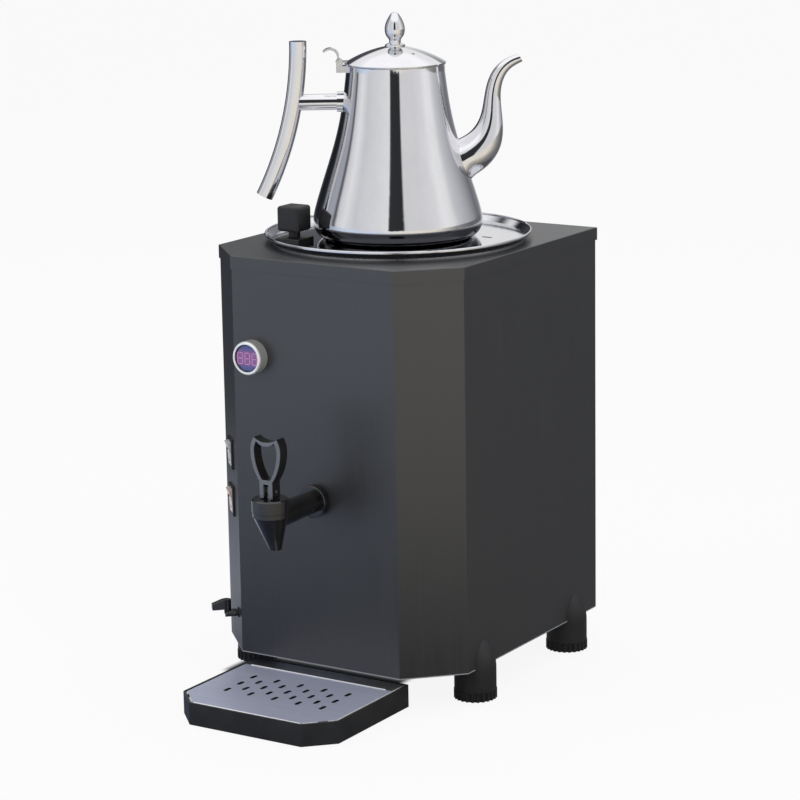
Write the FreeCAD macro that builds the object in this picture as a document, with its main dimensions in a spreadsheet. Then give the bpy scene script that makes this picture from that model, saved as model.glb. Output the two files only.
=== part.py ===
"""A hot water urn with a lever tap, a drip tray and a teapot on its boiler lid.

Millimetres. +Z is up and +Y goes from the front panel to the rear panel. The origin is on the table,
under the middle of the whole object. Every size is a cell of the sheet made from SIZES and DERIVED.
"""
import FreeCAD, Part
import math
import os
import re

import Sketcher

V = FreeCAD.Vector
# Two lengths that differ by less than this are taken as equal
SAME = 1e-4

SIZES = {
    # Case
    "case_width": 264,
    "case_depth": 287,
    "case_height": 375,
    "corner_cut": 45,
    "sheet_thick": 1,
    "bend_radius": 1.5,
    "cover_clear": 0.2,
    "cover_skirt": 12,
    "rear_flange": 14,
    "base_flange": 12,
    "hole_clear": 0.3,
    "vent_length": 70,
    "vent_width": 4,
    "vent_step": 11,
    "vent_height": 300,
    "vent_count": 6,
    "screw_radius": 2,
    "screw_length": 8,
    "screw_head_radius": 3.6,
    "screw_head_thick": 2.2,
    "screw_step": 154,
    # Feet
    "foot_height": 31,
    "foot_radius": 19.5,
    "foot_inset": 10,
    "front_foot_set_back": 74,
    "rear_foot_edge": 41,
    "foot_fin_height": 30,
    "foot_fin_start": 3,
    "foot_dome_height": 38,
    "ring_height": 8.2,
    "ring_radius": 20,
    "ring_notch_radius": 1.6,
    "ring_notch_count": 24,
    "ring_gap": 0.3,
    "stud_radius": 4,
    "stud_length": 16,
    "stud_play": 0.08,
    "stud_room": 0.5,
    "foot_screw_offset": 11,
    # Boiler
    "tank_behind_middle": 2.5,
    "tank_side_room": 22,
    "tank_wall": 1,
    "tank_low": 95,
    "tank_rim_width": 8,
    "tank_rim_thick": 1.5,
    "jacket_thick": 10,
    "jacket_gap": 0.3,
    "jacket_margin": 12,
    "bracket_count": 3,
    "bracket_width": 20,
    "bracket_reach": 18,
    "bracket_thick": 1.5,
    "bracket_inset": 10,
    "lid_overhang": 14.5,
    "lid_rise": 5.5,
    "lid_flare": 6.5,
    "lid_bead": 1.1,
    "lid_sheet": 1,
    "lid_hoop_depth": 8,
    "lid_hoop_play": 0.6,
    "slot_edge": 34.7,
    "slot_angle": 23.33,
    "steam_slot_length": 11,
    "steam_slot_width": 4,
    "knob_edge": 19.33,
    "knob_angle": 226.44,
    "knob_side": 23.5,
    "knob_round": 3,
    "knob_neck_radius": 5.5,
    "knob_neck_height": 6,
    "knob_foot_side": 26,
    "knob_foot_thick": 5,
    "element_radius": 4,
    "element_loop_radius": 60,
    "element_height": 28,
    "element_arc_angle": 330,
    "element_boss_radius": 10,
    "element_boss_height": 7,
    "element_tail": 16,
    "thermostat_radius": 9,
    "thermostat_height": 9,
    "thermostat_x": -28,
    "blade_width": 6.3,
    "blade_thick": 0.8,
    "blade_length": 7.2,
    "blade_step": 4,
    # Electrics
    "gland_edge": 46,
    "gland_z": 66,
    "gland_radius": 8,
    "gland_bore": 4.25,
    "gland_hex": 12,
    "gland_hex_thick": 6,
    "gland_out": 19,
    "gland_in": 10,
    "gland_nut_thick": 4,
    "block_length": 44,
    "block_depth": 20,
    "block_height": 18,
    "block_set_in": 80,
    "clamp_radius": 3,
    "clamp_depth": 8,
    "clamp_step": 13,
    "wire_radius": 1.6,
    "wire_step": 6,
    "wire_detour": 30,
    "wire_bend": 15,
    # Thermometer
    "gauge_edge": 22,
    "gauge_z": 315,
    "gauge_radius": 15.5,
    "gauge_out": 12,
    "gauge_round": 1.2,
    "gauge_face": 12.8,
    "gauge_lens_thick": 1.6,
    "gauge_lens_sink": 0.8,
    "gauge_panel_thick": 1.5,
    "gauge_barrel": 11,
    "gauge_barrel_wall": 1.6,
    "gauge_barrel_length": 26,
    "gauge_nut_radius": 15,
    "gauge_nut_thick": 5,
    "face_play": 0.1,
    "probe_radius": 3,
    "probe_z": 170,
    "probe_in": 21,
    "probe_out": 13,
    # Tap
    "tap_z": 188,
    "tap_reach": 72,
    "tap_collar_radius": 15,
    "tap_collar_thick": 8,
    "shank_root_radius": 10,
    "shank_end_radius": 12,
    "tap_thread": 8,
    "tap_thread_length": 20,
    "tap_bore": 5,
    "tap_nut_hex": 14,
    "tap_nut_thick": 6,
    "tap_ring_radius": 16,
    "tap_ring_low": 2,
    "tap_ring_high": 6,
    "cap_radius": 16.6,
    "cap_height": 12.5,
    "cap_round": 1.2,
    "cap_groove": 0.6,
    "cap_plug_depth": 2,
    "chamber_radius": 10.5,
    "chamber_floor": -5,
    "cone_low": -30,
    "cone_set_in": 0.5,
    "cone_end_radius": 5.5,
    "cone_end_shift": 6.5,
    "nozzle_bore": 4,
    "stem_radius": 3,
    "stem_flat": 4,
    "stem_top": 29,
    "stem_shoulder": 2.8,
    "stem_root": 1,
    "running_play": 0.06,
    "pin_radius": 1.5,
    "pin_height": 6.5,
    "pin_length": 14,
    "fork_gap": 0.8,
    "fork_leg": 4,
    "fork_bridge_thick": 2,
    "fork_depth": 12,
    "fork_lift": 0.5,
    "neck_height": 15.5,
    "loop_height": 40,
    "loop_widest": 28,
    "loop_half": 16,
    "horn_half": 12.2,
    "loop_wall": 4,
    "loop_foot_wall": 2,
    "loop_corner_wall": 2.8,
    "loop_dip": 4,
    "loop_round": 0.8,
    "cup_radius": 8,
    "cup_height": 5,
    "spring_inner": 4.2,
    "spring_outer": 6.2,
    "spring_room": 7,
    "spring_top": 15,
    "pipe_radius": 7,
    "pipe_in_tank": 4,
    # Switches
    "upper_switch_z": 215,
    "lower_switch_z": 170,
    "switch_width": 22,
    "switch_height": 28.5,
    "switch_lip": 2,
    "switch_border": 1.2,
    "switch_body_depth": 24,
    "switch_well_depth": 9,
    "rocker_width": 16.8,
    "rocker_half": 11,
    "rocker_pivot_in": 2,
    "rocker_rise": 5.5,
    "rocker_valley": 1.2,
    "rocker_side": 1,
    "rocker_keel": 3,
    "rocker_keel_half": 4.4,
    "rocker_tilt": 9,
    "rocker_play": 1.1,
    "rocker_pin_radius": 1.2,
    "rocker_pin_reach": 0.9,
    # Drain
    "drain_z": 64,
    "drain_aside": 14,
    "drain_radius": 3.6,
    "drain_out": 12.6,
    "drain_flange_radius": 5,
    "drain_flange_thick": 1.2,
    "drain_spigot_radius": 3,
    "drain_spigot_in": 14,
    "drain_bore": 1.8,
    "drain_stem_out": 11,
    "drain_hub_radius": 4.2,
    "drain_hub_height": 9.4,
    "drain_lever_out": 25,
    "drain_lever_width": 7,
    "drain_lever_tip": 5.8,
    "drain_lever_gap": 0.5,
    "drain_reach": 78,
    "hose_wall": 1.2,
    # Teapot
    "pot_turn": 32.5,
    "pot_height": 161,
    "pot_edge": 39.3,
    "pot_base_in": 13.7,
    "pot_belly_height": 15.5,
    "pot_mouth_radius": 45.6,
    "pot_wall": 1,
    "pot_rim_bead": 1.2,
    "pot_bead_in": 0.2,
    "spout_root_height": 76,
    "spout_root_in": 10.2,
    "spout_tip_height": 164.3,
    "spout_run": 46.7,
    "spout_root_radius": 18.5,
    "spout_tip_radius": 3.9,
    "spout_wall": 0.8,
    "spout_flare_in": 13.3,
    "spout_flare_drop": 10,
    "spout_flare_radius": 20.7,
    "arm_height": 126.5,
    "arm_radius": 7.4,
    "arm_collar_radius": 9.2,
    "arm_collar_reach": 54.5,
    "grip_reach": 89.3,
    "grip_top": 182.7,
    "grip_low": 39.9,
    "grip_radius": 8,
    "grip_curve_radius": 315,
    "pot_lid_gap": 0.3,
    "pot_lid_radius": 46.8,
    "pot_lid_rise": 15.5,
    "pot_lid_shoulder": 30,
    "pot_lid_shoulder_rise": 9.3,
    "pot_lid_sheet": 0.8,
    "pot_lid_skirt": 5,
    "pot_lid_skirt_play": 2,
    "pot_vent_radius": 1.6,
    "pot_vent_reach": 27,
    "pot_vent_angle": -53,
    "pot_knob_radius": 9.3,
    "pot_knob_height": 31,
    "pot_knob_foot": 1.5,
    "hinge_reach": 5.9,
    "hinge_rise": 2,
    "hinge_pin_radius": 1.5,
    "hinge_barrel_radius": 3,
    "hinge_width": 8,
    "hinge_ear": 2,
    "thumb_radius": 8.6,
    "thumb_thick": 2,
    "thumb_lift": 4.7,
    # Drip tray
    "tray_width": 169,
    "tray_out": 121,
    "tray_under": 19,
    "tray_height": 21,
    "tray_corner": 24,
    "tray_wall": 1.4,
    "tray_floor": 1.8,
    "tray_round": 1.2,
    "tray_edge": 0.5,
    "grate_sink": 0.2,
    "grate_thick": 1.2,
    "grate_lip": 5,
    "grate_round": 2,
    "grate_clear": 0.5,
    "grate_relief": 2,
    "tray_clear": 0.3,
    "grate_ledge": 2.6,
    "drip_slot_length": 9.8,
    "drip_slot_width": 4,
    "drip_slot_step_x": 26,
    "drip_slot_step_y": 10.3,
    "drip_slots_set_out": 53,
    "drip_rows": 5,
    "drip_row_slots": 5,
}

DERIVED = {
    "front_y": "(tray_out - case_depth - gland_out) / 2",
    "back_y": "front_y + case_depth",
    "case_top": "foot_height + case_height",
    "bend_gain": "sqrt(2) - 1",
    "half_root": "sqrt(2) / 2",
    "shell_back": "back_y - sheet_thick",
    "shell_top": "case_top - sheet_thick",
    "cover_out": "cover_clear + sheet_thick",
    "base_in": "sheet_thick + cover_clear",
    "base_top": "foot_height + sheet_thick",
    "foot_axis_x": "case_width / 2 - foot_inset",
    "rear_foot_set_back": "case_depth - rear_foot_edge",
    "tank_set_back": "case_depth / 2 + tank_behind_middle",
    "tank_y": "front_y + tank_set_back",
    "tank_radius": "case_width / 2 - tank_side_room",
    "tank_mouth": "tank_radius - tank_wall",
    "bracket_radius": "tank_radius - bracket_inset",
    "tank_rim_top": "case_top + tank_rim_thick",
    "lid_top": "tank_rim_top + lid_sheet",
    "lid_radius": "tank_radius + lid_overhang",
    "lid_flat": "lid_radius - lid_flare",
    "knob_x": "(lid_flat - knob_edge) * cos(knob_angle)",
    "knob_y": "tank_y + (lid_flat - knob_edge) * sin(knob_angle)",
    "slot_x": "(lid_flat - slot_edge) * cos(slot_angle)",
    "slot_y": "tank_y + (lid_flat - slot_edge) * sin(slot_angle)",
    "gland_x": "case_width / 2 - gland_edge",
    "gauge_x": "-(case_width / 2 - corner_cut - gauge_edge)",
    "chamfer_x": "-(case_width - corner_cut) / 2",
    "chamfer_y": "front_y + corner_cut / 2",
    "drain_x": "chamfer_x + half_root * drain_aside",
    "drain_y": "chamfer_y - half_root * drain_aside",
    "hose_top_x": "drain_x + half_root * drain_reach",
    "hose_top_y": "drain_y + half_root * drain_reach",
    "tap_y": "front_y - tap_reach",
    "cap_top": "tap_ring_high + cap_height",
    "pin_z": "cap_top + pin_height",
    "fork_inner": "stem_flat / 2 + fork_gap",
    "fork_outer": "fork_inner + fork_leg",
    "fork_low": "cap_top + fork_lift",
    "neck_z": "cap_top + neck_height",
    "shoulder_z": "cap_top - stem_shoulder",
    "loop_top": "neck_z + loop_height",
    "well_half_width": "rocker_width / 2 + 0.3 * rocker_play",
    "well_half_height": "rocker_half + rocker_play",
    "switch_body_width": "switch_width - 2 * switch_border",
    "switch_body_height": "switch_height - 2 * switch_border",
    "pot_rim": "pot_height + pot_lid_gap",
    "pot_belly_radius": "lid_flat - pot_edge",
    "pot_base_radius": "pot_belly_radius - pot_base_in",
    "spout_root_reach": "pot_belly_radius - spout_root_in",
    "spout_tip_reach": "spout_root_reach + spout_run",
    "hinge_x": "-(pot_mouth_radius + hinge_reach)",
    "hinge_z": "pot_height + hinge_rise",
    "pot_lid_z": "pot_rim",
    "tray_front": "front_y - tray_out",
    "tray_back": "front_y + tray_under",
    "grate_top": "tray_height - grate_sink",
    "ledge_top": "grate_top - grate_lip - tray_clear",
    "grate_in": "tray_wall + grate_clear",
}

# Where the teapot's side stands between the belly and the mouth: share of the height, of the radius
POT_SIDE = ((0.097, 0.928), (0.309, 0.633), (0.516, 0.346), (0.753, 0.117), (0.924, 0.015))
# Where the arc between the pot's base and its belly passes: share of the way out and up
POT_HEEL = (0.78, 0.36)
# The lid knob's side: share of its radius and of its height
POT_KNOB_SIDE = ((0.58, 0.15), (0.78, 0.27), (1, 0.5), (0.78, 0.76), (0.45, 0.93))
# The thumb lever's curl: angles of its start, middle and end
THUMB_ANGLES = (-40, 50, 140)
# How the spout goes from its root to its tip: share of the reach, of the height and of the radius
SPOUT_LINE = (
    (0.30, 0.16, 0.79),
    (0.42, 0.40, 0.42),
    (0.445, 0.62, 0.24),
    (0.51, 0.775, 0.18),
    (0.66, 0.90, 0.11),
)

doc = FreeCAD.newDocument("hot_water_urn")
sheet = doc.addObject("Spreadsheet::Sheet", "Sizes")


def in_sheet(expression):
    """Write the sheet's name in front of each size that an expression names."""
    def named(found):
        word = found.group(0)
        return "Sizes." + word if word in SIZES or word in DERIVED else word

    return re.sub(r"[a-z_]+[a-z_0-9]*", named, expression)


def fill_sheet():
    row = 0
    for name, value in SIZES.items():
        row += 1
        sheet.set("A%d" % row, name)
        sheet.set("B%d" % row, str(value))
        sheet.setAlias("B%d" % row, name)
    for name, formula in DERIVED.items():
        row += 1
        sheet.set("A%d" % row, name)
        sheet.set("B%d" % row, "=" + formula)
        sheet.setAlias("B%d" % row, name)
    doc.recompute()


fill_sheet()
parts = []


def mm(name):
    """The value of one size."""
    return float(sheet.get(name))


# Directions that a piece built along +Z can be turned to
UP = FreeCAD.Rotation()
OUTWARD = FreeCAD.Rotation(V(1, 0, 0), 90)
INWARD = FreeCAD.Rotation(V(1, 0, 0), -90)
SIDEWAYS = FreeCAD.Rotation(V(0, 1, 0), 90)
# The left chamfer's frame: X along the chamfer, Y into the case
CHAMFER = FreeCAD.Rotation(V(0, 0, 1), -45)
HERE = ("0", "0", "0")


def put(item, at, turn=UP):
    """Turn an object, then bind its place to three expressions."""
    item.Placement = FreeCAD.Placement(V(), turn)
    for axis, expression in zip("xyz", at):
        item.setExpression("Placement.Base." + axis, in_sheet(expression))
    return item


def block(name, size, at):
    item = doc.addObject("Part::Box", name)
    for side, expression in zip(("Length", "Width", "Height"), size):
        item.setExpression(side, in_sheet(expression))
    return put(item, at)


def rod(name, radius, length, at, turn=UP):
    item = doc.addObject("Part::Cylinder", name)
    item.setExpression("Radius", in_sheet(radius))
    item.setExpression("Height", in_sheet(length))
    return put(item, at, turn)


def hexagon(name, radius, length, at, turn=UP):
    item = doc.addObject("Part::Prism", name)
    item.Polygon = 6
    item.setExpression("Circumradius", in_sheet(radius))
    item.setExpression("Height", in_sheet(length))
    return put(item, at, turn)


def joined(name, *pieces):
    item = doc.addObject("Part::MultiFuse", name)
    item.Shapes = list(pieces)
    return item


def grouped(name, *pieces):
    item = doc.addObject("Part::Compound", name)
    item.Links = list(pieces)
    return item


def without(name, base, *tools):
    item = doc.addObject("Part::Cut", name)
    item.Base = base
    item.Tool = tools[0] if len(tools) == 1 else joined(name + "_tools", *tools)
    return item


def shaped(name, shape, at=HERE, turn=UP):
    item = doc.addObject("Part::Feature", name)
    item.Shape = shape
    return put(item, at, turn)


def part(item):
    """Keep an object as one of the urn's pieces."""
    parts.append(item)
    return item


def sketch_on(body, role, *loops):
    """A sketch of closed polygons whose corners are bound to pairs of expressions."""
    sketch = body.newObject("Sketcher::SketchObject", body.Name + "_outline")
    plane = [item for item in body.Origin.OriginFeatures if item.Role == role][0]
    sketch.AttachmentSupport = [(plane, "")]
    sketch.MapMode = "FlatFace"
    for loop in loops:
        first = sketch.GeometryCount
        count = len(loop)
        turn = 2 * math.pi / count
        spread = [V(math.cos(turn * n), math.sin(turn * n), 0) * 10 for n in range(count)]
        for n in range(count):
            sketch.addGeometry(Part.LineSegment(spread[n], spread[(n + 1) % count]), False)
        for n in range(count):
            after = first + (n + 1) % count
            sketch.addConstraint(Sketcher.Constraint("Coincident", first + n, 2, after, 1))
        for n, (across, along) in enumerate(loop):
            for kind, expression, start in (("DistanceX", across, spread[n].x),
                                            ("DistanceY", along, spread[n].y)):
                index = sketch.addConstraint(Sketcher.Constraint(kind, -1, 1, first + n, 1, start))
                sketch.setExpression("Constraints[%d]" % index, in_sheet(expression))
    return sketch


def padded(name, length, *loops, role="XY_Plane"):
    body = doc.addObject("PartDesign::Body", name)
    sketch = sketch_on(body, role, *loops)
    pad = body.newObject("PartDesign::Pad", name + "_pad")
    pad.Profile = sketch
    pad.setExpression("Length", in_sheet(length))
    doc.recompute()
    return body


def turned(name, *profile):
    """A body of revolution about Z from a polygon of radius and height."""
    body = doc.addObject("PartDesign::Body", name)
    sketch = sketch_on(body, "XZ_Plane", profile)
    spin = body.newObject("PartDesign::Revolution", name + "_spin")
    spin.Profile = sketch
    spin.ReferenceAxis = ([item for item in body.Origin.OriginFeatures if item.Role == "Z_Axis"][0], [""])
    spin.Angle = 360
    doc.recompute()
    return body


def pocket(body, depth, *loops, role="XY_Plane", offset=None):
    """Cut polygons out of a body, upwards from its own ground plane raised by offset."""
    sketch = sketch_on(body, role, *loops)
    sketch.Label = "%s_pocket_%d" % (body.Name, len(body.Group))
    if offset:
        sketch.setExpression("AttachmentOffset.Base.z", in_sheet(offset))
    cut = body.newObject("PartDesign::Pocket", body.Name + "_pocket")
    cut.Profile = sketch
    cut.Reversed = True
    cut.setExpression("Length", in_sheet(depth))
    before = body.Shape.Volume
    doc.recompute()
    if not body.Shape.Volume < before:
        raise ValueError("the pocket in %s cuts nothing" % body.Name)
    return body


def eased(body, radius, wanted):
    """Round the edges of a body for which wanted says yes."""
    names = ["Edge%d" % (n + 1) for n, edge in enumerate(body.Tip.Shape.Edges) if wanted(edge)]
    fillet = body.newObject("PartDesign::Fillet", body.Name + "_round")
    fillet.Base = (body.Tip if body.Tip != fillet else body.Group[-2], names)
    fillet.setExpression("Radius", in_sheet(radius))
    doc.recompute()
    return body


def rounded(name, base, radius, wanted):
    """Round the edges of any other object for which wanted says yes."""
    doc.recompute()
    item = doc.addObject("Part::Fillet", name)
    item.Base = base
    size = mm(radius)
    item.Edges = [(n + 1, size, size) for n, edge in enumerate(base.Shape.Edges) if wanted(edge)]
    return item


def lies_at(height):
    return lambda edge: abs(edge.BoundBox.ZMin - height) < SAME and abs(edge.BoundBox.ZMax - height) < SAME


def upright(edge):
    box = edge.BoundBox
    return box.XLength < SAME and box.YLength < SAME < box.ZLength


def spun(edges):
    """A solid of revolution about Z from edges that close in the plane of X and Z."""
    face = Part.Face(Part.Wire(edges))
    return face.revolve(V(), V(0, 0, 1), 360)


def line(*points):
    """Straight edges through points."""
    return [Part.LineSegment(a, b).toShape() for a, b in zip(points, points[1:])]


def arc(start, middle, end):
    return Part.Arc(start, middle, end).toShape()


def tube_path(points, most):
    """Straight runs joined by arcs that take up less than half of each run, and no more than most."""
    share = 0.45
    edges = []
    start = points[0]
    for before, corner, after in zip(points, points[1:], points[2:]):
        come = corner - before
        leave = after - corner
        half_turn = come.getAngle(leave) / 2
        reach = min(share * come.Length, share * leave.Length, most)
        radius = reach / math.tan(half_turn)
        come.normalize()
        leave.normalize()
        inner = (leave - come).normalize()
        centre = corner + inner * (radius / math.cos(half_turn))
        edges += line(start, corner - come * reach)
        edges.append(arc(corner - come * reach, centre - inner * radius, corner + leave * reach))
        start = corner + leave * reach
    return Part.Wire(edges + line(start, points[-1]))


def tube(points, radius, most):
    path = tube_path(points, most)
    ring = Part.Wire(Part.Circle(points[0], points[1] - points[0], radius).toShape())
    return path.makePipeShell([ring], True, False)


def front_corners(out="0", inset="0"):
    """The case's four front corners from left to right, moved outwards by a length."""
    half = "(case_width / 2 + (%s))" % out
    flat = "(case_width / 2 - corner_cut + bend_gain * (%s))" % out
    near = "(front_y - (%s))" % out
    far = "(front_y + corner_cut - bend_gain * (%s))" % out
    return [("-" + half, far), ("-" + flat, near), (flat, near), (half, far)]


def case_outline(out, back):
    """The whole case seen from above, moved outwards by a length, with its rear edge at back."""
    half = "(case_width / 2 + (%s))" % out
    return [("-" + half, back)] + front_corners(out) + [(half, back)]


def chamfer_place(height):
    return ("chamfer_x", "chamfer_y", height)


def make_shell():
    outer = [("-(case_width / 2 - rear_flange)", "shell_back"), ("-case_width / 2", "shell_back")]
    outer += front_corners()
    outer += [("case_width / 2", "shell_back"), ("case_width / 2 - rear_flange", "shell_back")]
    inner_back = "shell_back - sheet_thick"
    inner = [("-(case_width / 2 - rear_flange)", inner_back),
             ("-(case_width / 2 - sheet_thick)", inner_back)]
    inner += front_corners("-sheet_thick")
    inner += [("case_width / 2 - sheet_thick", inner_back), ("case_width / 2 - rear_flange", inner_back)]
    sheet_metal = padded("shell_sheet", "shell_top - foot_height", outer + inner[::-1])
    half = mm("case_width") / 2
    flat = half - mm("corner_cut")
    corners = [(half, mm("front_y") + mm("corner_cut")), (flat, mm("front_y"))]

    def bent(edge):
        box = edge.BoundBox
        spots = [abs(abs(box.XMin) - x) < SAME and abs(box.YMin - y) < SAME for x, y in corners]
        return upright(edge) and any(spots)

    eased(sheet_metal, "bend_radius", bent)
    put(sheet_metal, ("0", "0", "foot_height"))
    through = "3 * sheet_thick"
    deep = "front_y - sheet_thick"
    gauge_spot = ("gauge_x", deep, "gauge_z")
    gauge_hole = rod("gauge_hole", "gauge_barrel + hole_clear", through, gauge_spot, INWARD)
    tap_hole = rod("tap_hole", "tap_thread + hole_clear", through, ("0", deep, "tap_z"), INWARD)
    holes = [gauge_hole, tap_hole]
    for level in ("upper", "lower"):
        wide = "switch_body_width + 2 * hole_clear"
        high = "switch_body_height + 2 * hole_clear"
        window = block(level + "_window", (wide, through, high),
                       ("-(%s) / 2" % wide, "-sheet_thick", "-(%s) / 2" % high))
        place = chamfer_place(level + "_switch_z")
        holes.append(put(grouped(level + "_switch_hole", window), place, CHAMFER))
    start = ("0", "-sheet_thick", "0")
    drain = rod("drain_window", "drain_spigot_radius + hole_clear", through, start, INWARD)
    holes.append(put(grouped("drain_hole", drain), ("drain_x", "drain_y", "drain_z"), CHAMFER))
    holes += panel_holes("shell_screw")
    part(without("body_shell", sheet_metal, *holes))


def panel_spots():
    """Places of the rear panel's screws, in X and Z, on the shell's rear flanges."""
    spots = []
    for side in ("-", ""):
        for step in (-1, 0, 1):
            across = "%s(case_width - rear_flange) / 2" % side
            spots.append((across, "foot_height + case_height / 2 + %d * screw_step" % step))
    return spots


def panel_holes(name):
    deep = "shell_back - 2 * sheet_thick"
    size = "screw_radius + running_play"
    return [rod("%s_%d" % (name, n), size, "4 * sheet_thick", (x, deep, z), INWARD)
            for n, (x, z) in enumerate(panel_spots())]


def make_cover():
    low = "case_top - cover_skirt"
    cap = padded("top_cover_cap", "cover_skirt", case_outline("cover_out", "back_y + cover_out"))
    eased(cap, "bend_radius", lambda edge: upright(edge) and edge.BoundBox.YMin < mm("tank_y"))
    eased(cap, "0.6 * bend_radius", lies_at(mm("cover_skirt")))
    pocket(cap, "cover_skirt - sheet_thick", case_outline("cover_clear", "back_y + cover_clear"))
    put(cap, ("0", "0", low))
    mouth = rod("cover_mouth", "tank_radius + hole_clear", "3 * sheet_thick",
                ("0", "tank_y", "case_top - 2 * sheet_thick"))
    part(without("top_cover", cap, mouth))


def make_rear_panel():
    wide = "case_width - 2 * cover_clear"
    low = "foot_height + cover_clear"
    high = "case_height - sheet_thick - 2 * cover_clear"
    panel = block("rear_sheet", (wide, "sheet_thick", high), ("-(%s) / 2" % wide, "shell_back", low))
    deep = "shell_back - sheet_thick"
    gland_spot = ("gland_x", deep, "gland_z")
    cuts = [rod("gland_hole", "gland_radius + hole_clear", "3 * sheet_thick", gland_spot, INWARD)]
    for n in range(int(mm("vent_count"))):
        height = "vent_height - %d * vent_step" % n
        slot = ("vent_length", "3 * sheet_thick", "vent_width")
        cuts.append(block("vent_%d" % n, slot, ("-vent_length / 2", deep, height)))
    part(without("rear_panel", panel, *cuts, *panel_holes("panel_screw_hole")))
    screws = []
    for n, (x, z) in enumerate(panel_spots()):
        head = rod("panel_head_%d" % n, "screw_head_radius", "screw_head_thick", (x, "back_y", z), INWARD)
        tip = (x, "back_y - screw_length", z)
        shank = rod("panel_shank_%d" % n, "screw_radius", "screw_length", tip, INWARD)
        screws.append(joined("panel_screw_%d" % n, head, shank))
    part(grouped("panel_screws", *screws))


def foot_spots():
    names = ("front_left", "front_right", "rear_left", "rear_right")
    sides = (-1, 1, -1, 1)
    depths = ("front_y + front_foot_set_back",) * 2 + ("front_y + rear_foot_set_back",) * 2
    return list(zip(names, sides, depths))


def make_base():
    floor = padded("base_floor", "base_flange", case_outline("-base_in", "shell_back - base_in"))
    inside = case_outline("-base_in - sheet_thick", "shell_back - base_in - sheet_thick")
    pocket(floor, "base_flange", inside, offset="sheet_thick")
    put(floor, ("0", "0", "foot_height"))
    holes = []
    for name, side, depth in foot_spots():
        across = "%d * (foot_axis_x - foot_screw_offset)" % side
        holes.append(rod(name + "_base_hole", "screw_radius + running_play", "3 * sheet_thick",
                         (across, depth, "foot_height - sheet_thick")))
    part(without("base_plate", floor, *holes))


def foot_dome():
    """A pointed dome on the foot's round post."""
    radius = mm("foot_radius")
    height = mm("foot_dome_height")
    bend = (height ** 2 + radius ** 2) / (2 * radius)
    half_turn = math.asin(height / bend) / 2
    middle = V(radius - bend + bend * math.cos(half_turn), 0, bend * math.sin(half_turn))
    side = arc(V(radius, 0, 0), middle, V(0, 0, height))
    return spun([side] + line(V(0, 0, height), V(), V(radius, 0, 0)))


def make_feet():
    """Moulded feet whose domed outer side rises over the side panel, with levelling rings below."""
    screws = []
    for name, side, depth in foot_spots():
        across = "%d * foot_axis_x" % side
        low = "ring_height + ring_gap"
        dome_z = "foot_height - foot_fin_start"
        post = rod(name + "_post", "foot_radius", "foot_height - foot_fin_start - ring_height - ring_gap",
                   (across, depth, low))
        dome = shaped(name + "_dome", foot_dome(), (across, depth, dome_z))
        room = "2 * foot_radius"
        start = "case_width / 2 - 2 * foot_radius" if side > 0 else "-case_width / 2"
        notch = block(name + "_notch", (room, "2.2 * foot_radius", "2 * foot_fin_height"),
                      (start, depth + " - 1.1 * foot_radius", "foot_height"))
        bore = rod(name + "_bore", "stud_radius + stud_play", "stud_length + stud_room", (across, depth, low))
        screw_x = "%d * (foot_axis_x - foot_screw_offset)" % side
        pilot = rod(name + "_pilot", "screw_radius + running_play", "screw_length + ring_gap",
                    (screw_x, depth, "base_top - screw_length - ring_gap"))
        part(without(name + "_foot", joined(name + "_moulding", post, dome), notch, bore, pilot))
        head = rod(name + "_screw_head", "screw_head_radius", "screw_head_thick",
                   (screw_x, depth, "base_top"))
        shank = rod(name + "_screw_shank", "screw_radius", "screw_length",
                    (screw_x, depth, "base_top - screw_length"))
        screws.append(joined(name + "_foot_screw", head, shank))
        ring = rod(name + "_ring_disc", "ring_radius", "ring_height", (across, depth, "0"))
        stud = rod(name + "_stud", "stud_radius", "stud_length", (across, depth, "ring_height"))
        notches = []
        count = int(mm("ring_notch_count"))
        for n in range(count):
            angle = 360.0 * n / count
            x = "%s + ring_radius * cos(%g)" % (across, angle)
            y = "%s + ring_radius * sin(%g)" % (depth, angle)
            notches.append(rod("%s_knurl_%d" % (name, n), "ring_notch_radius", "ring_height", (x, y, "0")))
        knurled = without(name + "_knurled", ring, *notches)
        part(joined(name + "_levelling_ring", knurled, stud))
    part(grouped("foot_screws", *screws))


def element_ends():
    angle = mm("element_arc_angle")
    far_x = "element_loop_radius * cos(%g)" % angle
    far_y = "tank_y + element_loop_radius * sin(%g)" % angle
    return [("element_loop_radius", "tank_y"), (far_x, far_y)]


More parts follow.
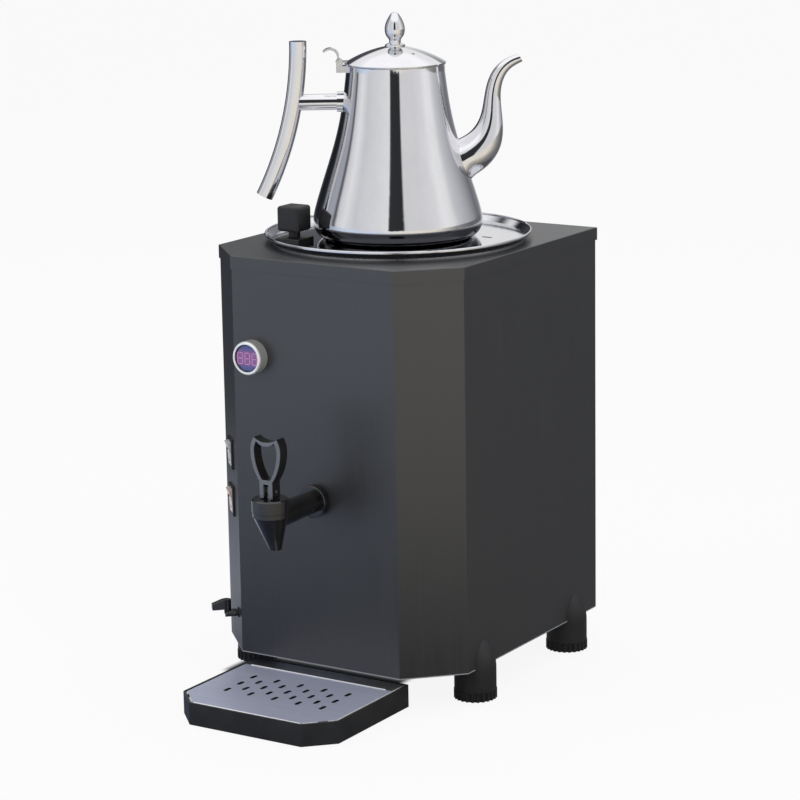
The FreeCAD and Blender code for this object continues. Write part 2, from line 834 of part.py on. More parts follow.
def make_tank():
    flange = "tank_radius + tank_rim_width"
    floor = "tank_low + tank_wall"
    vessel = turned("tank_vessel", ("0", "tank_low"), ("tank_radius", "tank_low"),
                    ("tank_radius", "case_top"), (flange, "case_top"), (flange, "tank_rim_top"),
                    ("tank_mouth", "tank_rim_top"), ("tank_mouth", floor), ("0", floor))
    put(vessel, ("0", "tank_y", "0"))
    in_front = ("0", "tank_y - 1.5 * tank_radius", "tap_z")
    behind = ("0", "tank_y + tank_radius / 2", "probe_z")
    outlet = rod("tank_outlet", "pipe_radius", "tank_radius", in_front, INWARD)
    bottom = "tank_low - tank_wall"
    legs = [rod("tank_leg_hole_%d" % n, "element_radius", "3 * tank_wall", (x, y, bottom))
            for n, (x, y) in enumerate(element_ends())]
    drain = rod("tank_drain", "drain_spigot_radius - hose_wall", "3 * tank_wall",
                ("hose_top_x", "hose_top_y", bottom))
    pocket_hole = rod("tank_probe_hole", "probe_radius", "tank_radius", behind, INWARD)
    part(without("boiler_tank", vessel, outlet, *legs, drain, pocket_hole))
    low = "tank_low + jacket_margin"
    high = "shell_top - jacket_margin - (%s)" % low
    wrap = rod("jacket_wrap", "tank_radius + jacket_gap + jacket_thick", high, ("0", "tank_y", low))
    core = rod("jacket_core", "tank_radius + jacket_gap", high, ("0", "tank_y", low))
    front_gap = rod("jacket_outlet_gap", "1.4 * pipe_radius", "tank_radius", in_front, INWARD)
    rear_gap = rod("jacket_probe_gap", "2 * probe_radius", "tank_radius", behind, INWARD)
    part(without("insulation_jacket", wrap, core, front_gap, rear_gap))
    brackets = []
    inner = "bracket_radius - bracket_reach"
    web = "bracket_radius - bracket_thick"
    low = "base_top + bracket_thick"
    high = "tank_low - bracket_thick"
    profile = [(inner, "base_top"), ("bracket_radius", "base_top"), ("bracket_radius", "tank_low"),
               (inner, "tank_low"), (inner, high), (web, high), (web, low), (inner, low)]
    count = int(mm("bracket_count"))
    for n in range(count):
        bracket = padded("bracket_%d" % n, "bracket_width", profile, role="XZ_Plane")
        centred = put(grouped("bracket_centred_%d" % n, bracket), ("0", "bracket_width / 2", "0"))
        angle = 90 + 360 * n / count
        brackets.append(put(grouped("bracket_turned_%d" % n, centred), ("0", "tank_y", "0"),
                            FreeCAD.Rotation(V(0, 0, 1), angle)))
    part(grouped("tank_brackets", *brackets))


def make_boiler_lid():
    """A dish with a hoop inside the tank's mouth, a steam slot and a cube knob on a neck."""
    hoop = "tank_mouth - lid_hoop_play"
    hoop_in = hoop + " - lid_sheet"
    hoop_low = "tank_rim_top - lid_hoop_depth"
    rim = "lid_top + lid_rise"
    wall = "lid_radius - lid_sheet"
    dish = turned("lid_dish", ("0", "tank_rim_top"), (hoop_in, "tank_rim_top"), (hoop_in, hoop_low),
                  (hoop, hoop_low), (hoop, "tank_rim_top"), ("lid_flat", "tank_rim_top"),
                  (wall, rim + " - 2 * lid_sheet"), ("lid_radius", rim + " - lid_sheet"),
                  ("lid_radius", rim), (wall, rim), ("lid_flat", "lid_top"), ("0", "lid_top"))
    put(dish, ("0", "tank_y", "0"))
    bead = doc.addObject("Part::Torus", "lid_bead_ring")
    bead.setExpression("Radius1", in_sheet("lid_radius - lid_bead"))
    bead.setExpression("Radius2", in_sheet("lid_bead"))
    put(bead, ("0", "tank_y", rim))
    slot_length = "steam_slot_length - steam_slot_width"
    middle = "slot_x - (%s) / 2" % slot_length
    low = "tank_rim_top - lid_sheet"
    high = "3 * lid_sheet"
    slot = block("steam_slot", (slot_length, "steam_slot_width", high),
                 (middle, "slot_y - steam_slot_width / 2", low))
    left = rod("steam_slot_left", "steam_slot_width / 2", high, (middle, "slot_y", low))
    right = rod("steam_slot_right", "steam_slot_width / 2", high,
                ("slot_x + (%s) / 2" % slot_length, "slot_y", low))
    screw_hole = rod("lid_screw_hole", "screw_radius", high, ("knob_x", "knob_y", low))
    part(without("boiler_lid", joined("lid_beaded", dish, bead), slot, left, right, screw_hole))
    foot = block("knob_foot", ("knob_foot_side", "knob_foot_side", "knob_foot_thick"),
                 ("-knob_foot_side / 2", "-knob_foot_side / 2", "0"))
    neck = rod("knob_neck", "knob_neck_radius", "knob_neck_height + knob_foot_thick", HERE)
    cube = block("knob_cube", ("knob_side", "knob_side", "knob_side"),
                 ("-knob_side / 2", "-knob_side / 2", "knob_foot_thick + knob_neck_height"))
    cube_round = rounded("knob_cube_round", cube, "knob_round", lambda edge: True)
    foot_round = rounded("knob_foot_round", foot, "tray_round", lambda edge: edge.BoundBox.ZMax > SAME)
    thread = rod("knob_thread", "screw_radius", "1.5 * screw_length", HERE)
    moulding = joined("knob_moulding", foot_round, neck, cube_round)
    part(put(without("lid_knob", moulding, thread), ("knob_x", "knob_y", "lid_top")))
    head = rod("lid_screw_head", "screw_head_radius", "screw_head_thick",
               ("knob_x", "knob_y", "tank_rim_top - screw_head_thick"))
    shank = rod("lid_screw_shank", "screw_radius", "1.5 * screw_length + lid_sheet - ring_gap",
                ("knob_x", "knob_y", "tank_rim_top"))
    part(joined("lid_knob_screw", head, shank))


def make_element():
    """A loop of tube low in the tank, on two legs that come out through bosses in its bottom."""
    loop = doc.addObject("Part::Torus", "element_loop")
    loop.setExpression("Radius1", in_sheet("element_loop_radius"))
    loop.setExpression("Radius2", in_sheet("element_radius"))
    loop.setExpression("Angle3", in_sheet("element_arc_angle"))
    put(loop, ("0", "tank_y", "tank_low + element_height"))
    pieces = [loop]
    for n, (x, y) in enumerate(element_ends()):
        elbow = doc.addObject("Part::Sphere", "element_elbow_%d" % n)
        elbow.setExpression("Radius", in_sheet("element_radius"))
        pieces.append(put(elbow, (x, y, "tank_low + element_height")))
        pieces.append(rod("element_leg_%d" % n, "element_radius", "element_height + element_tail",
                          (x, y, "tank_low - element_tail")))
        pieces.append(hexagon("element_boss_%d" % n, "element_boss_radius", "element_boss_height",
                              (x, y, "tank_low - element_boss_height")))
    part(joined("heating_element", *pieces))
    for name, side in (("thermostat", 1), ("safety_cutout", -1)):
        y = "tank_y + %d * 2 * thermostat_radius" % side
        can = rod(name + "_can", "thermostat_radius", "thermostat_height",
                  ("thermostat_x", y, "tank_low - thermostat_height"))
        collar = rod(name + "_collar", "1.3 * thermostat_radius", "sheet_thick",
                     ("thermostat_x", y, "tank_low - sheet_thick"))
        blades = []
        for end, step in (("near", "-blade_step - blade_thick"), ("far", "blade_step")):
            blades.append(block("%s_%s_blade" % (name, end), ("blade_width", "blade_thick", "blade_length"),
                                ("thermostat_x - blade_width / 2", "%s + (%s)" % (y, step),
                                 "tank_low - thermostat_height - blade_length")))
        part(joined(name, can, collar, *blades))


def make_electrics():
    deep = "back_y - sheet_thick - gland_in"
    through = "sheet_thick + gland_in + gland_out"
    body = rod("gland_body", "gland_radius", through + " - gland_hex_thick", ("gland_x", deep, "gland_z"),
               INWARD)
    seat = ("gland_x", "back_y", "gland_z")
    collar = hexagon("gland_collar", "gland_hex", "gland_hex_thick", seat, INWARD)
    dome = doc.addObject("Part::Cone", "gland_dome")
    dome.setExpression("Radius1", in_sheet("0.95 * gland_hex"))
    dome.setExpression("Radius2", in_sheet("0.75 * gland_hex"))
    dome.setExpression("Height", in_sheet("gland_out - gland_hex_thick"))
    put(dome, ("gland_x", "back_y + gland_hex_thick", "gland_z"), INWARD)
    bore = rod("gland_passage", "gland_bore", through, ("gland_x", deep, "gland_z"), INWARD)
    part(without("cable_gland", joined("gland_solid", body, collar, dome), bore))
    nut_y = "shell_back - gland_nut_thick"
    nut = hexagon("gland_nut_hex", "gland_hex", "gland_nut_thick", ("gland_x", nut_y, "gland_z"), INWARD)
    hole = rod("gland_nut_hole", "gland_radius", "gland_nut_thick", ("gland_x", nut_y, "gland_z"), INWARD)
    part(without("cable_gland_nut", nut, hole))
    size = ("block_length", "block_depth", "block_height")
    corner = ("gland_x - block_length", "back_y - block_set_in", "base_top")
    base = block("terminal_base", size, corner)
    clamps = []
    for n, step in enumerate((-1, 0, 1)):
        across = "gland_x - block_length / 2 + %d * clamp_step" % step
        middle = "back_y - block_set_in + block_depth / 2"
        clamps.append(rod("terminal_clamp_%d" % n, "clamp_radius", "clamp_depth",
                          (across, middle, "base_top + block_height - clamp_depth")))
    part(without("terminal_block", base, *clamps))


def make_wiring():
    """Three wires from the terminal block, clear of the tank and the brackets."""
    block_y = mm("back_y") - mm("block_set_in")
    level = mm("base_top") + mm("block_height") / 2
    leg = V(mm("element_loop_radius"), mm("tank_y"), level)
    radius = mm("wire_radius")
    step = mm("wire_step")
    bend = mm("wire_bend")
    tail = mm("tank_low") - mm("element_tail")
    routes = [[V(leg.x, block_y, level), leg, V(leg.x, leg.y, tail)]]
    out = V(-mm("half_root"), -mm("half_root"), 0)
    panel = V(mm("chamfer_x"), mm("chamfer_y"), 0)
    along = V(mm("half_root"), -mm("half_root"), 0)
    for n, height in enumerate((mm("upper_switch_z"), mm("lower_switch_z"))):
        aside = along * ((n - 0.5) * step)
        behind = panel - out * (mm("switch_body_depth") + 2 * radius) + aside
        start = V(mm("gland_x") - mm("block_length") + (n + 1) * step, block_y, level + (0.5 - n) * step)
        side = V(start.x, behind.y + mm("wire_detour"), start.z)
        rise = V(behind.x, behind.y, start.z + 2 * step)
        end = V(behind.x, behind.y, height)
        routes.append([start, side, rise, end, end + out * (2 * radius)])
    wires = [shaped("wire_%d" % n, tube(route, radius, bend)) for n, route in enumerate(routes)]
    part(grouped("wiring", *wires))


def make_thermometer():
    """A round panel thermometer: bezel with a threaded barrel, lit face, lens, nut and a probe."""
    lens_low = "gauge_out - gauge_lens_sink - gauge_lens_thick"
    face_low = lens_low + " - gauge_panel_thick"
    inner = "gauge_barrel - gauge_barrel_wall"
    recess = "gauge_face + face_play"
    end = "-gauge_barrel_length"
    bezel = turned("thermometer_bezel", (inner, end), ("gauge_barrel", end), ("gauge_barrel", "0"),
                   ("gauge_radius", "0"), ("gauge_radius", "gauge_out - gauge_round"),
                   ("gauge_radius - gauge_round", "gauge_out"), (recess, "gauge_out"),
                   (recess, face_low), (inner, face_low))
    place = ("gauge_x", "front_y", "gauge_z")
    part(put(bezel, place, OUTWARD))
    lens = rod("lens_disc", "gauge_face", "gauge_lens_thick", ("0", "0", lens_low))
    part(put(grouped("thermometer_lens", lens), place, OUTWARD))
    panel = rod("display_disc", "gauge_face", "gauge_panel_thick", ("0", "0", face_low))
    part(put(grouped("thermometer_display", panel), place, OUTWARD))
    low = "-sheet_thick - gauge_nut_thick"
    nut = hexagon("gauge_nut_hex", "gauge_nut_radius", "gauge_nut_thick", ("0", "0", low))
    hole = rod("gauge_nut_hole", "gauge_barrel", "gauge_nut_thick", ("0", "0", low))
    part(put(without("thermometer_nut", nut, hole), place, OUTWARD))
    start = "tank_y + tank_radius - probe_in"
    stem = rod("probe_stem", "probe_radius", "probe_in + probe_out", ("0", start, "probe_z"), INWARD)
    seat = ("0", "tank_y + tank_radius", "probe_z")
    stop = hexagon("probe_stop", "1.6 * probe_radius", "probe_radius", seat, INWARD)
    part(joined("thermometer_probe", stem, stop))


def bow(widest, end):
    """An arc that leaves its widest point upright and bends inwards to its end."""
    across = widest.x - end.x
    along = end.z - widest.z
    radius = (across ** 2 + along ** 2) / (2 * across)
    centre = widest - V(radius, 0, 0)
    half_turn = math.asin(along / radius) / 2
    middle = centre + V(math.cos(half_turn), 0, math.sin(half_turn)) * radius
    return arc(widest, middle, end)


def loop_ring(half, foot, horn, dip):
    """A closed ring with bowed sides and a dipped top, from its widest, foot, horn and dip points."""
    sides = [bow(half, foot), bow(half, horn)]
    other = [side.mirror(V(), V(1, 0, 0)) for side in sides]
    top = arc(horn, dip, V(-horn.x, 0, horn.z))
    bottom = line(V(-foot.x, 0, foot.z), foot)
    return Part.Wire(Part.__sortEdges__(sides + other + [top] + bottom))


def tap_loop():
    """The lever's loop handle, with a dip between two horn tips on top."""
    wall = mm("loop_wall")
    low = mm("neck_z")
    top = mm("loop_top")
    neck = mm("fork_outer")
    half = mm("loop_half")
    horn = mm("horn_half")
    widest = low + mm("loop_widest")
    dip = top - mm("loop_dip")
    outer = loop_ring(V(half, 0, widest), V(neck, 0, low), V(horn, 0, top), V(0, 0, dip))
    aside = mm("loop_corner_wall")
    inner = loop_ring(V(half - wall, 0, widest), V(neck - aside, 0, low + mm("loop_foot_wall")),
                      V(horn - aside, 0, top - wall), V(0, 0, dip - wall))
    face = Part.Face([outer, inner])
    face.validate()
    depth = mm("fork_depth")
    solid = face.extrude(V(0, depth, 0))
    solid.translate(V(0, -depth / 2, 0))
    size = mm("loop_round")

    def sharp(edge):
        box = edge.BoundBox
        return abs(box.YMin) > depth / 2 - 1e-3 and box.YLength < 1e-4 and box.ZMax > low + 1e-3

    return solid.makeFillet(size, [edge for edge in solid.Edges if sharp(edge)])


def level_ring(centre, radius):
    """A level circle as a wire."""
    return Part.Wire(Part.Circle(centre, V(0, 0, 1), radius).toShape())


def slanted_cone(low, low_radius, high, high_radius):
    """A cone between two level circles whose centres need not be one above the other."""
    return Part.makeLoft([level_ring(low, low_radius), level_ring(high, high_radius)], True, True)


# The tap's pieces are built about the valve's axis, with the shank's axis at height zero
TAP_PLACE = ("0", "tap_y", "tap_z")


def make_tap_body():
    tip = V(0, mm("cone_end_shift"), mm("cone_low"))
    cone = shaped("tap_cone", slanted_cone(tip, mm("cone_end_radius"), V(0, 0, mm("tap_ring_low")),
                                           mm("tap_ring_radius") - mm("cone_set_in")))
    ring = rod("tap_ring", "tap_ring_radius", "tap_ring_high - tap_ring_low", ("0", "0", "tap_ring_low"))
    shank = doc.addObject("Part::Cone", "tap_shank")
    shank.setExpression("Radius1", in_sheet("shank_end_radius"))
    shank.setExpression("Radius2", in_sheet("shank_root_radius"))
    shank.setExpression("Height", in_sheet("tap_reach"))
    put(shank, HERE, INWARD)
    thread = rod("tap_thread_rod", "tap_thread", "tap_thread_length", ("0", "tap_reach", "0"), INWARD)
    chamber = rod("tap_chamber", "chamber_radius", "cap_height + tap_ring_high - chamber_floor",
                  ("0", "0", "chamber_floor"))
    keep_out = rod("tap_above", "1.2 * cap_radius", "cap_height", ("0", "0", "tap_ring_high"))
    bore = shaped("tap_nozzle_bore", slanted_cone(tip, mm("nozzle_bore"), V(0, 0, mm("chamber_floor")),
                                                  mm("tap_bore")))
    inlet = rod("tap_inlet", "tap_bore", "tap_reach + tap_thread_length", HERE, INWARD)
    solid = joined("tap_solid", cone, ring, shank, thread)
    part(put(without("tap_body", solid, chamber, keep_out, bore, inlet), TAP_PLACE))
    under = "tap_ring_high - cap_plug_depth"
    throat = "stem_radius + running_play"
    plug = "chamber_radius - running_play"
    cap = turned("tap_bonnet", (throat, "spring_top"), (throat, "cap_top"),
                 ("cap_radius - cap_round", "cap_top"), ("cap_radius", "cap_top - cap_round"),
                 ("cap_radius", "tap_ring_high + cap_groove"), ("cap_radius - cap_groove", "tap_ring_high"),
                 (plug, "tap_ring_high"), (plug, under),
                 ("spring_room", under), ("spring_room", "spring_top"))
    part(put(cap, TAP_PLACE))


def make_tap_valve():
    """The stem with its pin and seat cup, and the spring that closes it."""
    stem_low = "chamber_floor + cup_height / 2"
    round_stem = rod("stem_rod", "stem_radius", "shoulder_z - (%s)" % stem_low, ("0", "0", stem_low))
    root = "shoulder_z - stem_root"
    tongue = block("stem_tongue", ("stem_flat", "1.2 * stem_radius", "stem_top - (%s)" % root),
                   ("-stem_flat / 2", "-0.6 * stem_radius", root))
    eye = rod("stem_eye", "pin_radius", "stem_flat", ("-stem_flat / 2", "0", "pin_z"), SIDEWAYS)
    part(put(without("tap_stem", joined("stem_solid", round_stem, tongue), eye), TAP_PLACE))
    pin = rod("pin_rod", "pin_radius", "pin_length", ("-pin_length / 2", "0", "pin_z"), SIDEWAYS)
    part(put(grouped("tap_pin", pin), TAP_PLACE))
    cup = rod("cup_disc", "cup_radius", "cup_height", ("0", "0", "chamber_floor"))
    cup_eye = rod("cup_eye", "stem_radius", "cup_height", ("0", "0", stem_low))
    part(put(without("tap_seat_cup", cup, cup_eye), TAP_PLACE))
    low = ("0", "0", "chamber_floor + cup_height")
    length = "spring_top - chamber_floor - cup_height"
    sleeve = rod("spring_sleeve", "spring_outer", length, low)
    core = rod("spring_core", "spring_inner", length, low)
    part(put(without("tap_spring", sleeve, core), TAP_PLACE))


def make_tap_lever():
    """Two fork legs astride the stem, a bridge over it and the loop handle."""
    legs = []

    def foot_edge(edge):
        return lies_at(mm("fork_low"))(edge) and edge.BoundBox.XLength > 1e-3

    for side, start in (("left", "-fork_outer"), ("right", "fork_inner")):
        leg = block(side + "_fork_block", ("fork_leg", "fork_depth", "neck_z - fork_low"),
                    (start, "-fork_depth / 2", "fork_low"))
        legs.append(rounded(side + "_fork_leg", leg, "loop_round", foot_edge))
    bridge_low = "neck_z - fork_bridge_thick"
    bridge = block("fork_bridge", ("2 * fork_inner", "fork_depth", "neck_z - (%s)" % bridge_low),
                   ("-fork_inner", "-fork_depth / 2", bridge_low))
    lever_eye = rod("lever_eye", "pin_radius + running_play", "4 * fork_outer",
                    ("-2 * fork_outer", "0", "pin_z"), SIDEWAYS)
    lever = joined("lever_solid", shaped("lever_loop", tap_loop()), bridge, *legs)
    part(put(without("tap_lever", lever, lever_eye), TAP_PLACE))


def make_tap_fixings():
    """The collar in front of the panel, the nut behind it and the pipe from the tank."""
    collar = rod("collar_disc", "tap_collar_radius", "tap_collar_thick", HERE)
    collar_round = rounded("collar_round", collar, "tray_round", lies_at(mm("tap_collar_thick")))
    collar_taper = doc.addObject("Part::Cone", "collar_taper")
    grow = "(shank_end_radius - shank_root_radius) / tap_reach * tap_collar_thick"
    collar_taper.setExpression("Radius1", in_sheet("shank_root_radius"))
    collar_taper.setExpression("Radius2", in_sheet("shank_root_radius + " + grow))
    collar_taper.setExpression("Height", in_sheet("tap_collar_thick"))
    put(collar_taper, HERE)
    part(put(without("tap_collar", collar_round, collar_taper), ("0", "front_y", "tap_z"), OUTWARD))
    nut_y = "front_y + sheet_thick"
    nut = hexagon("tap_nut_hex_bar", "tap_nut_hex", "tap_nut_thick", ("0", nut_y, "tap_z"), INWARD)
    nut_hole = rod("tap_nut_hole", "tap_thread", "tap_nut_thick", ("0", nut_y, "tap_z"), INWARD)
    part(without("tap_back_nut", nut, nut_hole))
    start = "front_y + tap_thread_length"
    length = "tank_set_back - tap_thread_length - tank_radius + pipe_in_tank"
    pipe = rod("outlet_tube", "pipe_radius", length, ("0", start, "tap_z"), INWARD)
    pipe_bore = rod("outlet_bore", "tap_bore", length, ("0", start, "tap_z"), INWARD)
    part(without("outlet_pipe", pipe, pipe_bore))


def make_switches():
    """Two rocker switches on the left chamfer, built with the panel's outer face at Y = 0."""
    for level in ("upper", "lower"):
        height = level + "_switch_z"
        lip = block(level + "_lip", ("switch_width", "switch_lip", "switch_height"),
                    ("-switch_width / 2", "-switch_lip", "-switch_height / 2"))
        lip_round = rounded(level + "_lip_round", lip, "gauge_round",
                            lambda edge: edge.BoundBox.YMax < -mm("switch_lip") + 1e-3)
        case = block(level + "_case", ("switch_body_width", "switch_body_depth", "switch_body_height"),
                     ("-switch_body_width / 2", "0", "-switch_body_height / 2"))
        well_size = ("2 * well_half_width", "switch_lip + switch_well_depth", "2 * well_half_height")
        well = block(level + "_well", well_size, ("-well_half_width", "-switch_lip", "-well_half_height"))
        eyes = rod(level + "_rocker_eyes", "rocker_pin_radius + running_play", "switch_body_width",
                   ("-switch_body_width / 2", "rocker_pivot_in", "0"), SIDEWAYS)
        solid = joined(level + "_switch_solid", lip_round, case)
        housing = without(level + "_switch_housing", solid, well, eyes)
        part(put(housing, chamfer_place(height), CHAMFER))
        profile = [("-rocker_rise", "rocker_half"), ("rocker_valley - rocker_rise", "0"),
                   ("-rocker_rise", "-rocker_half"), ("rocker_side", "-rocker_half"),
                   ("rocker_keel", "-rocker_keel_half"), ("rocker_keel", "rocker_keel_half"),
                   ("rocker_side", "rocker_half")]
        rocker = padded(level + "_rocker_bar", "rocker_width", profile, role="YZ_Plane")
        tilted = put(grouped(level + "_rocker_tilted", rocker),
                     ("-rocker_width / 2", "rocker_pivot_in", "0"),
                     FreeCAD.Rotation(V(1, 0, 0), mm("rocker_tilt")))
        reach = "rocker_width / 2 + rocker_pin_reach"
        pin = rod(level + "_rocker_pin", "rocker_pin_radius", "2 * (%s)" % reach,
                  ("-(%s)" % reach, "rocker_pivot_in", "0"), SIDEWAYS)
        part(put(joined(level + "_switch_rocker", tilted, pin), chamfer_place(height), CHAMFER))


def make_drain():
    """A quarter-turn drain tap low on the left chamfer, with a hose from the tank's bottom."""
    place = ("drain_x", "drain_y", "drain_z")
    barrel = rod("drain_barrel", "drain_radius", "drain_out", HERE, OUTWARD)
    flange = hexagon("drain_flange", "drain_flange_radius", "drain_flange_thick", HERE, OUTWARD)
    spigot = rod("drain_spigot", "drain_spigot_radius", "drain_spigot_in", HERE, INWARD)
    neck = rod("drain_neck", "0.6 * drain_hub_radius", "drain_radius + drain_lever_gap / 2",
               ("0", "-drain_stem_out", "0"))
    passage = rod("drain_passage", "drain_bore", "drain_out + drain_spigot_in", ("0", "-drain_out", "0"),
                  INWARD)
    part(put(without("drain_valve", joined("drain_solid", barrel, flange, spigot, neck), passage), place,
             CHAMFER))
    low = "drain_radius + drain_lever_gap"
    hub = rod("drain_hub", "drain_hub_radius", "drain_hub_height", ("0", "-drain_stem_out", low))
    high = low + " + drain_hub_height"
    shoulder = "-drain_stem_out - drain_hub_radius"
    wedge = [("-drain_stem_out", low), ("-drain_stem_out", high), (shoulder, high),
             ("-drain_lever_out", low + " + drain_lever_tip"), ("-drain_lever_out", low)]
    paddle = padded("drain_paddle", "drain_lever_width", wedge, role="YZ_Plane")
    centred = put(grouped("drain_paddle_centred", paddle), ("-drain_lever_width / 2", "0", "0"))
    paddle_round = rounded("drain_paddle_round", centred, "loop_round",
                           lambda edge: edge.BoundBox.YMin < -mm("drain_lever_out") + SAME)
    part(put(joined("drain_lever", hub, paddle_round), place, CHAMFER))
    start = mm("drain_spigot_in")
    reach = mm("drain_reach")
    rise = mm("tank_low") - mm("drain_z")
    route = [V(0, start, 0), V(0, reach, 0), V(0, reach, rise)]
    outer = tube(route, mm("drain_spigot_radius"), reach)
    inner = tube(route, mm("drain_spigot_radius") - mm("hose_wall"), reach)
    part(shaped("drain_hose", outer.cut(inner), place, CHAMFER))


def pot_side(inset):
    """The teapot's side from its belly to its mouth, moved inwards by a length."""
    low = mm("pot_belly_height")
    wide = mm("pot_belly_radius") - inset
    narrow = mm("pot_mouth_radius") - inset
    high = mm("pot_height")
    points = [V(wide, 0, low)]
    points += [V(narrow + (wide - narrow) * share, 0, low + (high - low) * rise)
               for rise, share in POT_SIDE]
    points.append(V(narrow, 0, high))
    curve = Part.BSplineCurve()
    curve.interpolate(Points=points, InitialTangent=V(0, 0, 1), FinalTangent=V(0, 0, 1))
    return curve.toShape()


def pot_solid(inset):
    base = mm("pot_base_radius") - inset
    wide = mm("pot_belly_radius") - inset
    low = mm("pot_belly_height")
    high = mm("pot_height")
    heel_out, heel_up = POT_HEEL
    heel = V(base + heel_out * (wide - base), 0, inset + heel_up * (low - inset))
    edges = line(V(0, 0, inset), V(base, 0, inset))
    edges.append(arc(V(base, 0, inset), heel, V(wide, 0, low)))
    edges.append(pot_side(inset))
    edges += line(V(mm("pot_mouth_radius") - inset, 0, high), V(0, 0, high), V(0, 0, inset))
    return spun(edges)


def spout_solid(inset):
    """The swan-neck spout: circles square to its centre line, from inside the pot to the tip."""
    root = V(mm("spout_root_reach"), 0, mm("spout_root_height"))
    tip = V(mm("spout_tip_reach"), 0, mm("spout_tip_height"))
    thick = mm("spout_root_radius")
    thin = mm("spout_tip_radius")
    way = tip - root
    spots = [(root + V(way.x * across, 0, way.z * up), thin + (thick - thin) * share)
             for across, up, share in SPOUT_LINE]
    flare = V(-mm("spout_flare_in"), 0, -mm("spout_flare_drop"))
    spots = [(root + flare, mm("spout_flare_radius")), (root, thick)] + spots + [(tip, thin)]
    places = [spot for spot, size in spots]
    rings = []
    for n, (spot, size) in enumerate(spots):
        before = places[max(n - 1, 0)]
        after = places[min(n + 1, len(places) - 1)]
        rings.append(Part.Wire(Part.Circle(spot, after - before, size - inset).toShape()))
    return Part.makeLoft(rings, True, False)


def grip_solid():
    bend = mm("grip_curve_radius")
    top = V(-mm("grip_reach"), 0, mm("grip_top"))
    centre = top - V(bend, 0, 0)
    sweep = math.degrees(math.asin((mm("grip_top") - mm("grip_low")) / bend))
    end = Part.Face(Part.Wire(Part.Circle(top, V(0, 0, 1), mm("grip_radius")).toShape()))
    return end.revolve(centre, V(0, 1, 0), sweep)


def make_teapot():
    """The pot is built upright about Z with its spout along +X, then stood on the boiler lid."""
    place = ("0", "tank_y", "lid_top")
    turn = FreeCAD.Rotation(V(0, 0, 1), mm("pot_turn"))
    outside = pot_solid(0)
    spout_room = spout_solid(mm("spout_wall"))
    above = Part.makeCylinder(2 * mm("pot_mouth_radius"), 2 * mm("pot_rim_bead"), V(0, 0, mm("pot_height")))
    pot = outside.fuse(pot_bead().cut(above)).cut(pot_solid(mm("pot_wall"))).cut(spout_room)
    part(shaped("teapot_body", pot, place, turn))
    part(shaped("teapot_spout", spout_solid(0).cut(outside).cut(spout_room), place, turn))
    arm_z = mm("arm_height")
    arm = Part.makeCylinder(mm("arm_radius"), mm("grip_reach"), V(0, 0, arm_z), V(-1, 0, 0))
    collar = Part.makeCylinder(mm("arm_collar_radius"), mm("arm_collar_reach"), V(0, 0, arm_z), V(-1, 0, 0))
    handle = grip_solid().fuse(arm).fuse(collar).cut(outside)
    part(shaped("teapot_handle", handle, place, turn))
    lid = pot_lid()
    part(shaped("teapot_lid", lid, place, turn))
    part(shaped("teapot_lid_knob", pot_knob(), place, turn))
    make_pot_hinge(place, turn, outside, lid)


def pot_bead():
    return Part.makeTorus(mm("pot_mouth_radius") - mm("pot_bead_in"), mm("pot_rim_bead"),
                          V(0, 0, mm("pot_height")))


def pot_lid():
    """A domed lid of even thickness with a skirt inside the mouth and a small vent."""
    low = mm("pot_lid_z")
    rim = mm("pot_lid_radius")
    skin = mm("pot_lid_sheet")
    skirt = mm("pot_mouth_radius") - mm("pot_wall") - mm("pot_lid_skirt_play")
    rise = mm("pot_lid_rise")
    neck = mm("pot_knob_radius")
    top = low + rise
    dome = arc(V(rim, 0, low + skin), V(mm("pot_lid_shoulder"), 0, low + mm("pot_lid_shoulder_rise")),
               V(neck, 0, top))
    centre = dome.Curve.Center
    inner = dome.Curve.Radius - skin

    def under_dome(radius):
        """The point of the dome's inner face at a radius."""
        return V(radius, 0, centre.z + math.sqrt(inner ** 2 - (radius - centre.x) ** 2))

    spots = [under_dome(skirt - skin), under_dome((skirt - skin + neck) / 2), under_dome(neck)]
    edges = [dome] + line(V(neck, 0, top), V(0, 0, top), V(0, 0, spots[2].z), spots[2])
    edges.append(arc(*spots[::-1]))
    edges += line(spots[0], V(skirt - skin, 0, low - mm("pot_lid_skirt")),
                  V(skirt, 0, low - mm("pot_lid_skirt")), V(skirt, 0, low), V(rim, 0, low),
                  V(rim, 0, low + skin))
    angle = math.radians(mm("pot_vent_angle"))
    vent_spot = V(math.cos(angle), math.sin(angle), 0) * mm("pot_vent_reach")
    return spun(edges).cut(Part.makeCylinder(mm("pot_vent_radius"), 2 * rise, vent_spot + V(0, 0, low)))


def pot_knob():
    """An acorn on a thin neck and a foot."""
    top = mm("pot_lid_z") + mm("pot_lid_rise")
    wide = mm("pot_knob_radius")
    tall = mm("pot_knob_height")
    foot = mm("pot_knob_foot")
    points = [V(out * wide, 0, top + up * tall) for out, up in POT_KNOB_SIDE] + [V(0, 0, top + tall)]
    curve = Part.BSplineCurve()
    curve.interpolate(Points=points, InitialTangent=V(0, 0, 1), FinalTangent=V(-1, 0, 0))
    edges = line(V(0, 0, top), V(wide, 0, top), V(wide, 0, top + foot), V(points[0].x, 0, top + 2 * foot),
                 points[0])
    edges.append(curve.toShape())
    edges += line(points[-1], V(0, 0, top))
    return spun(edges)


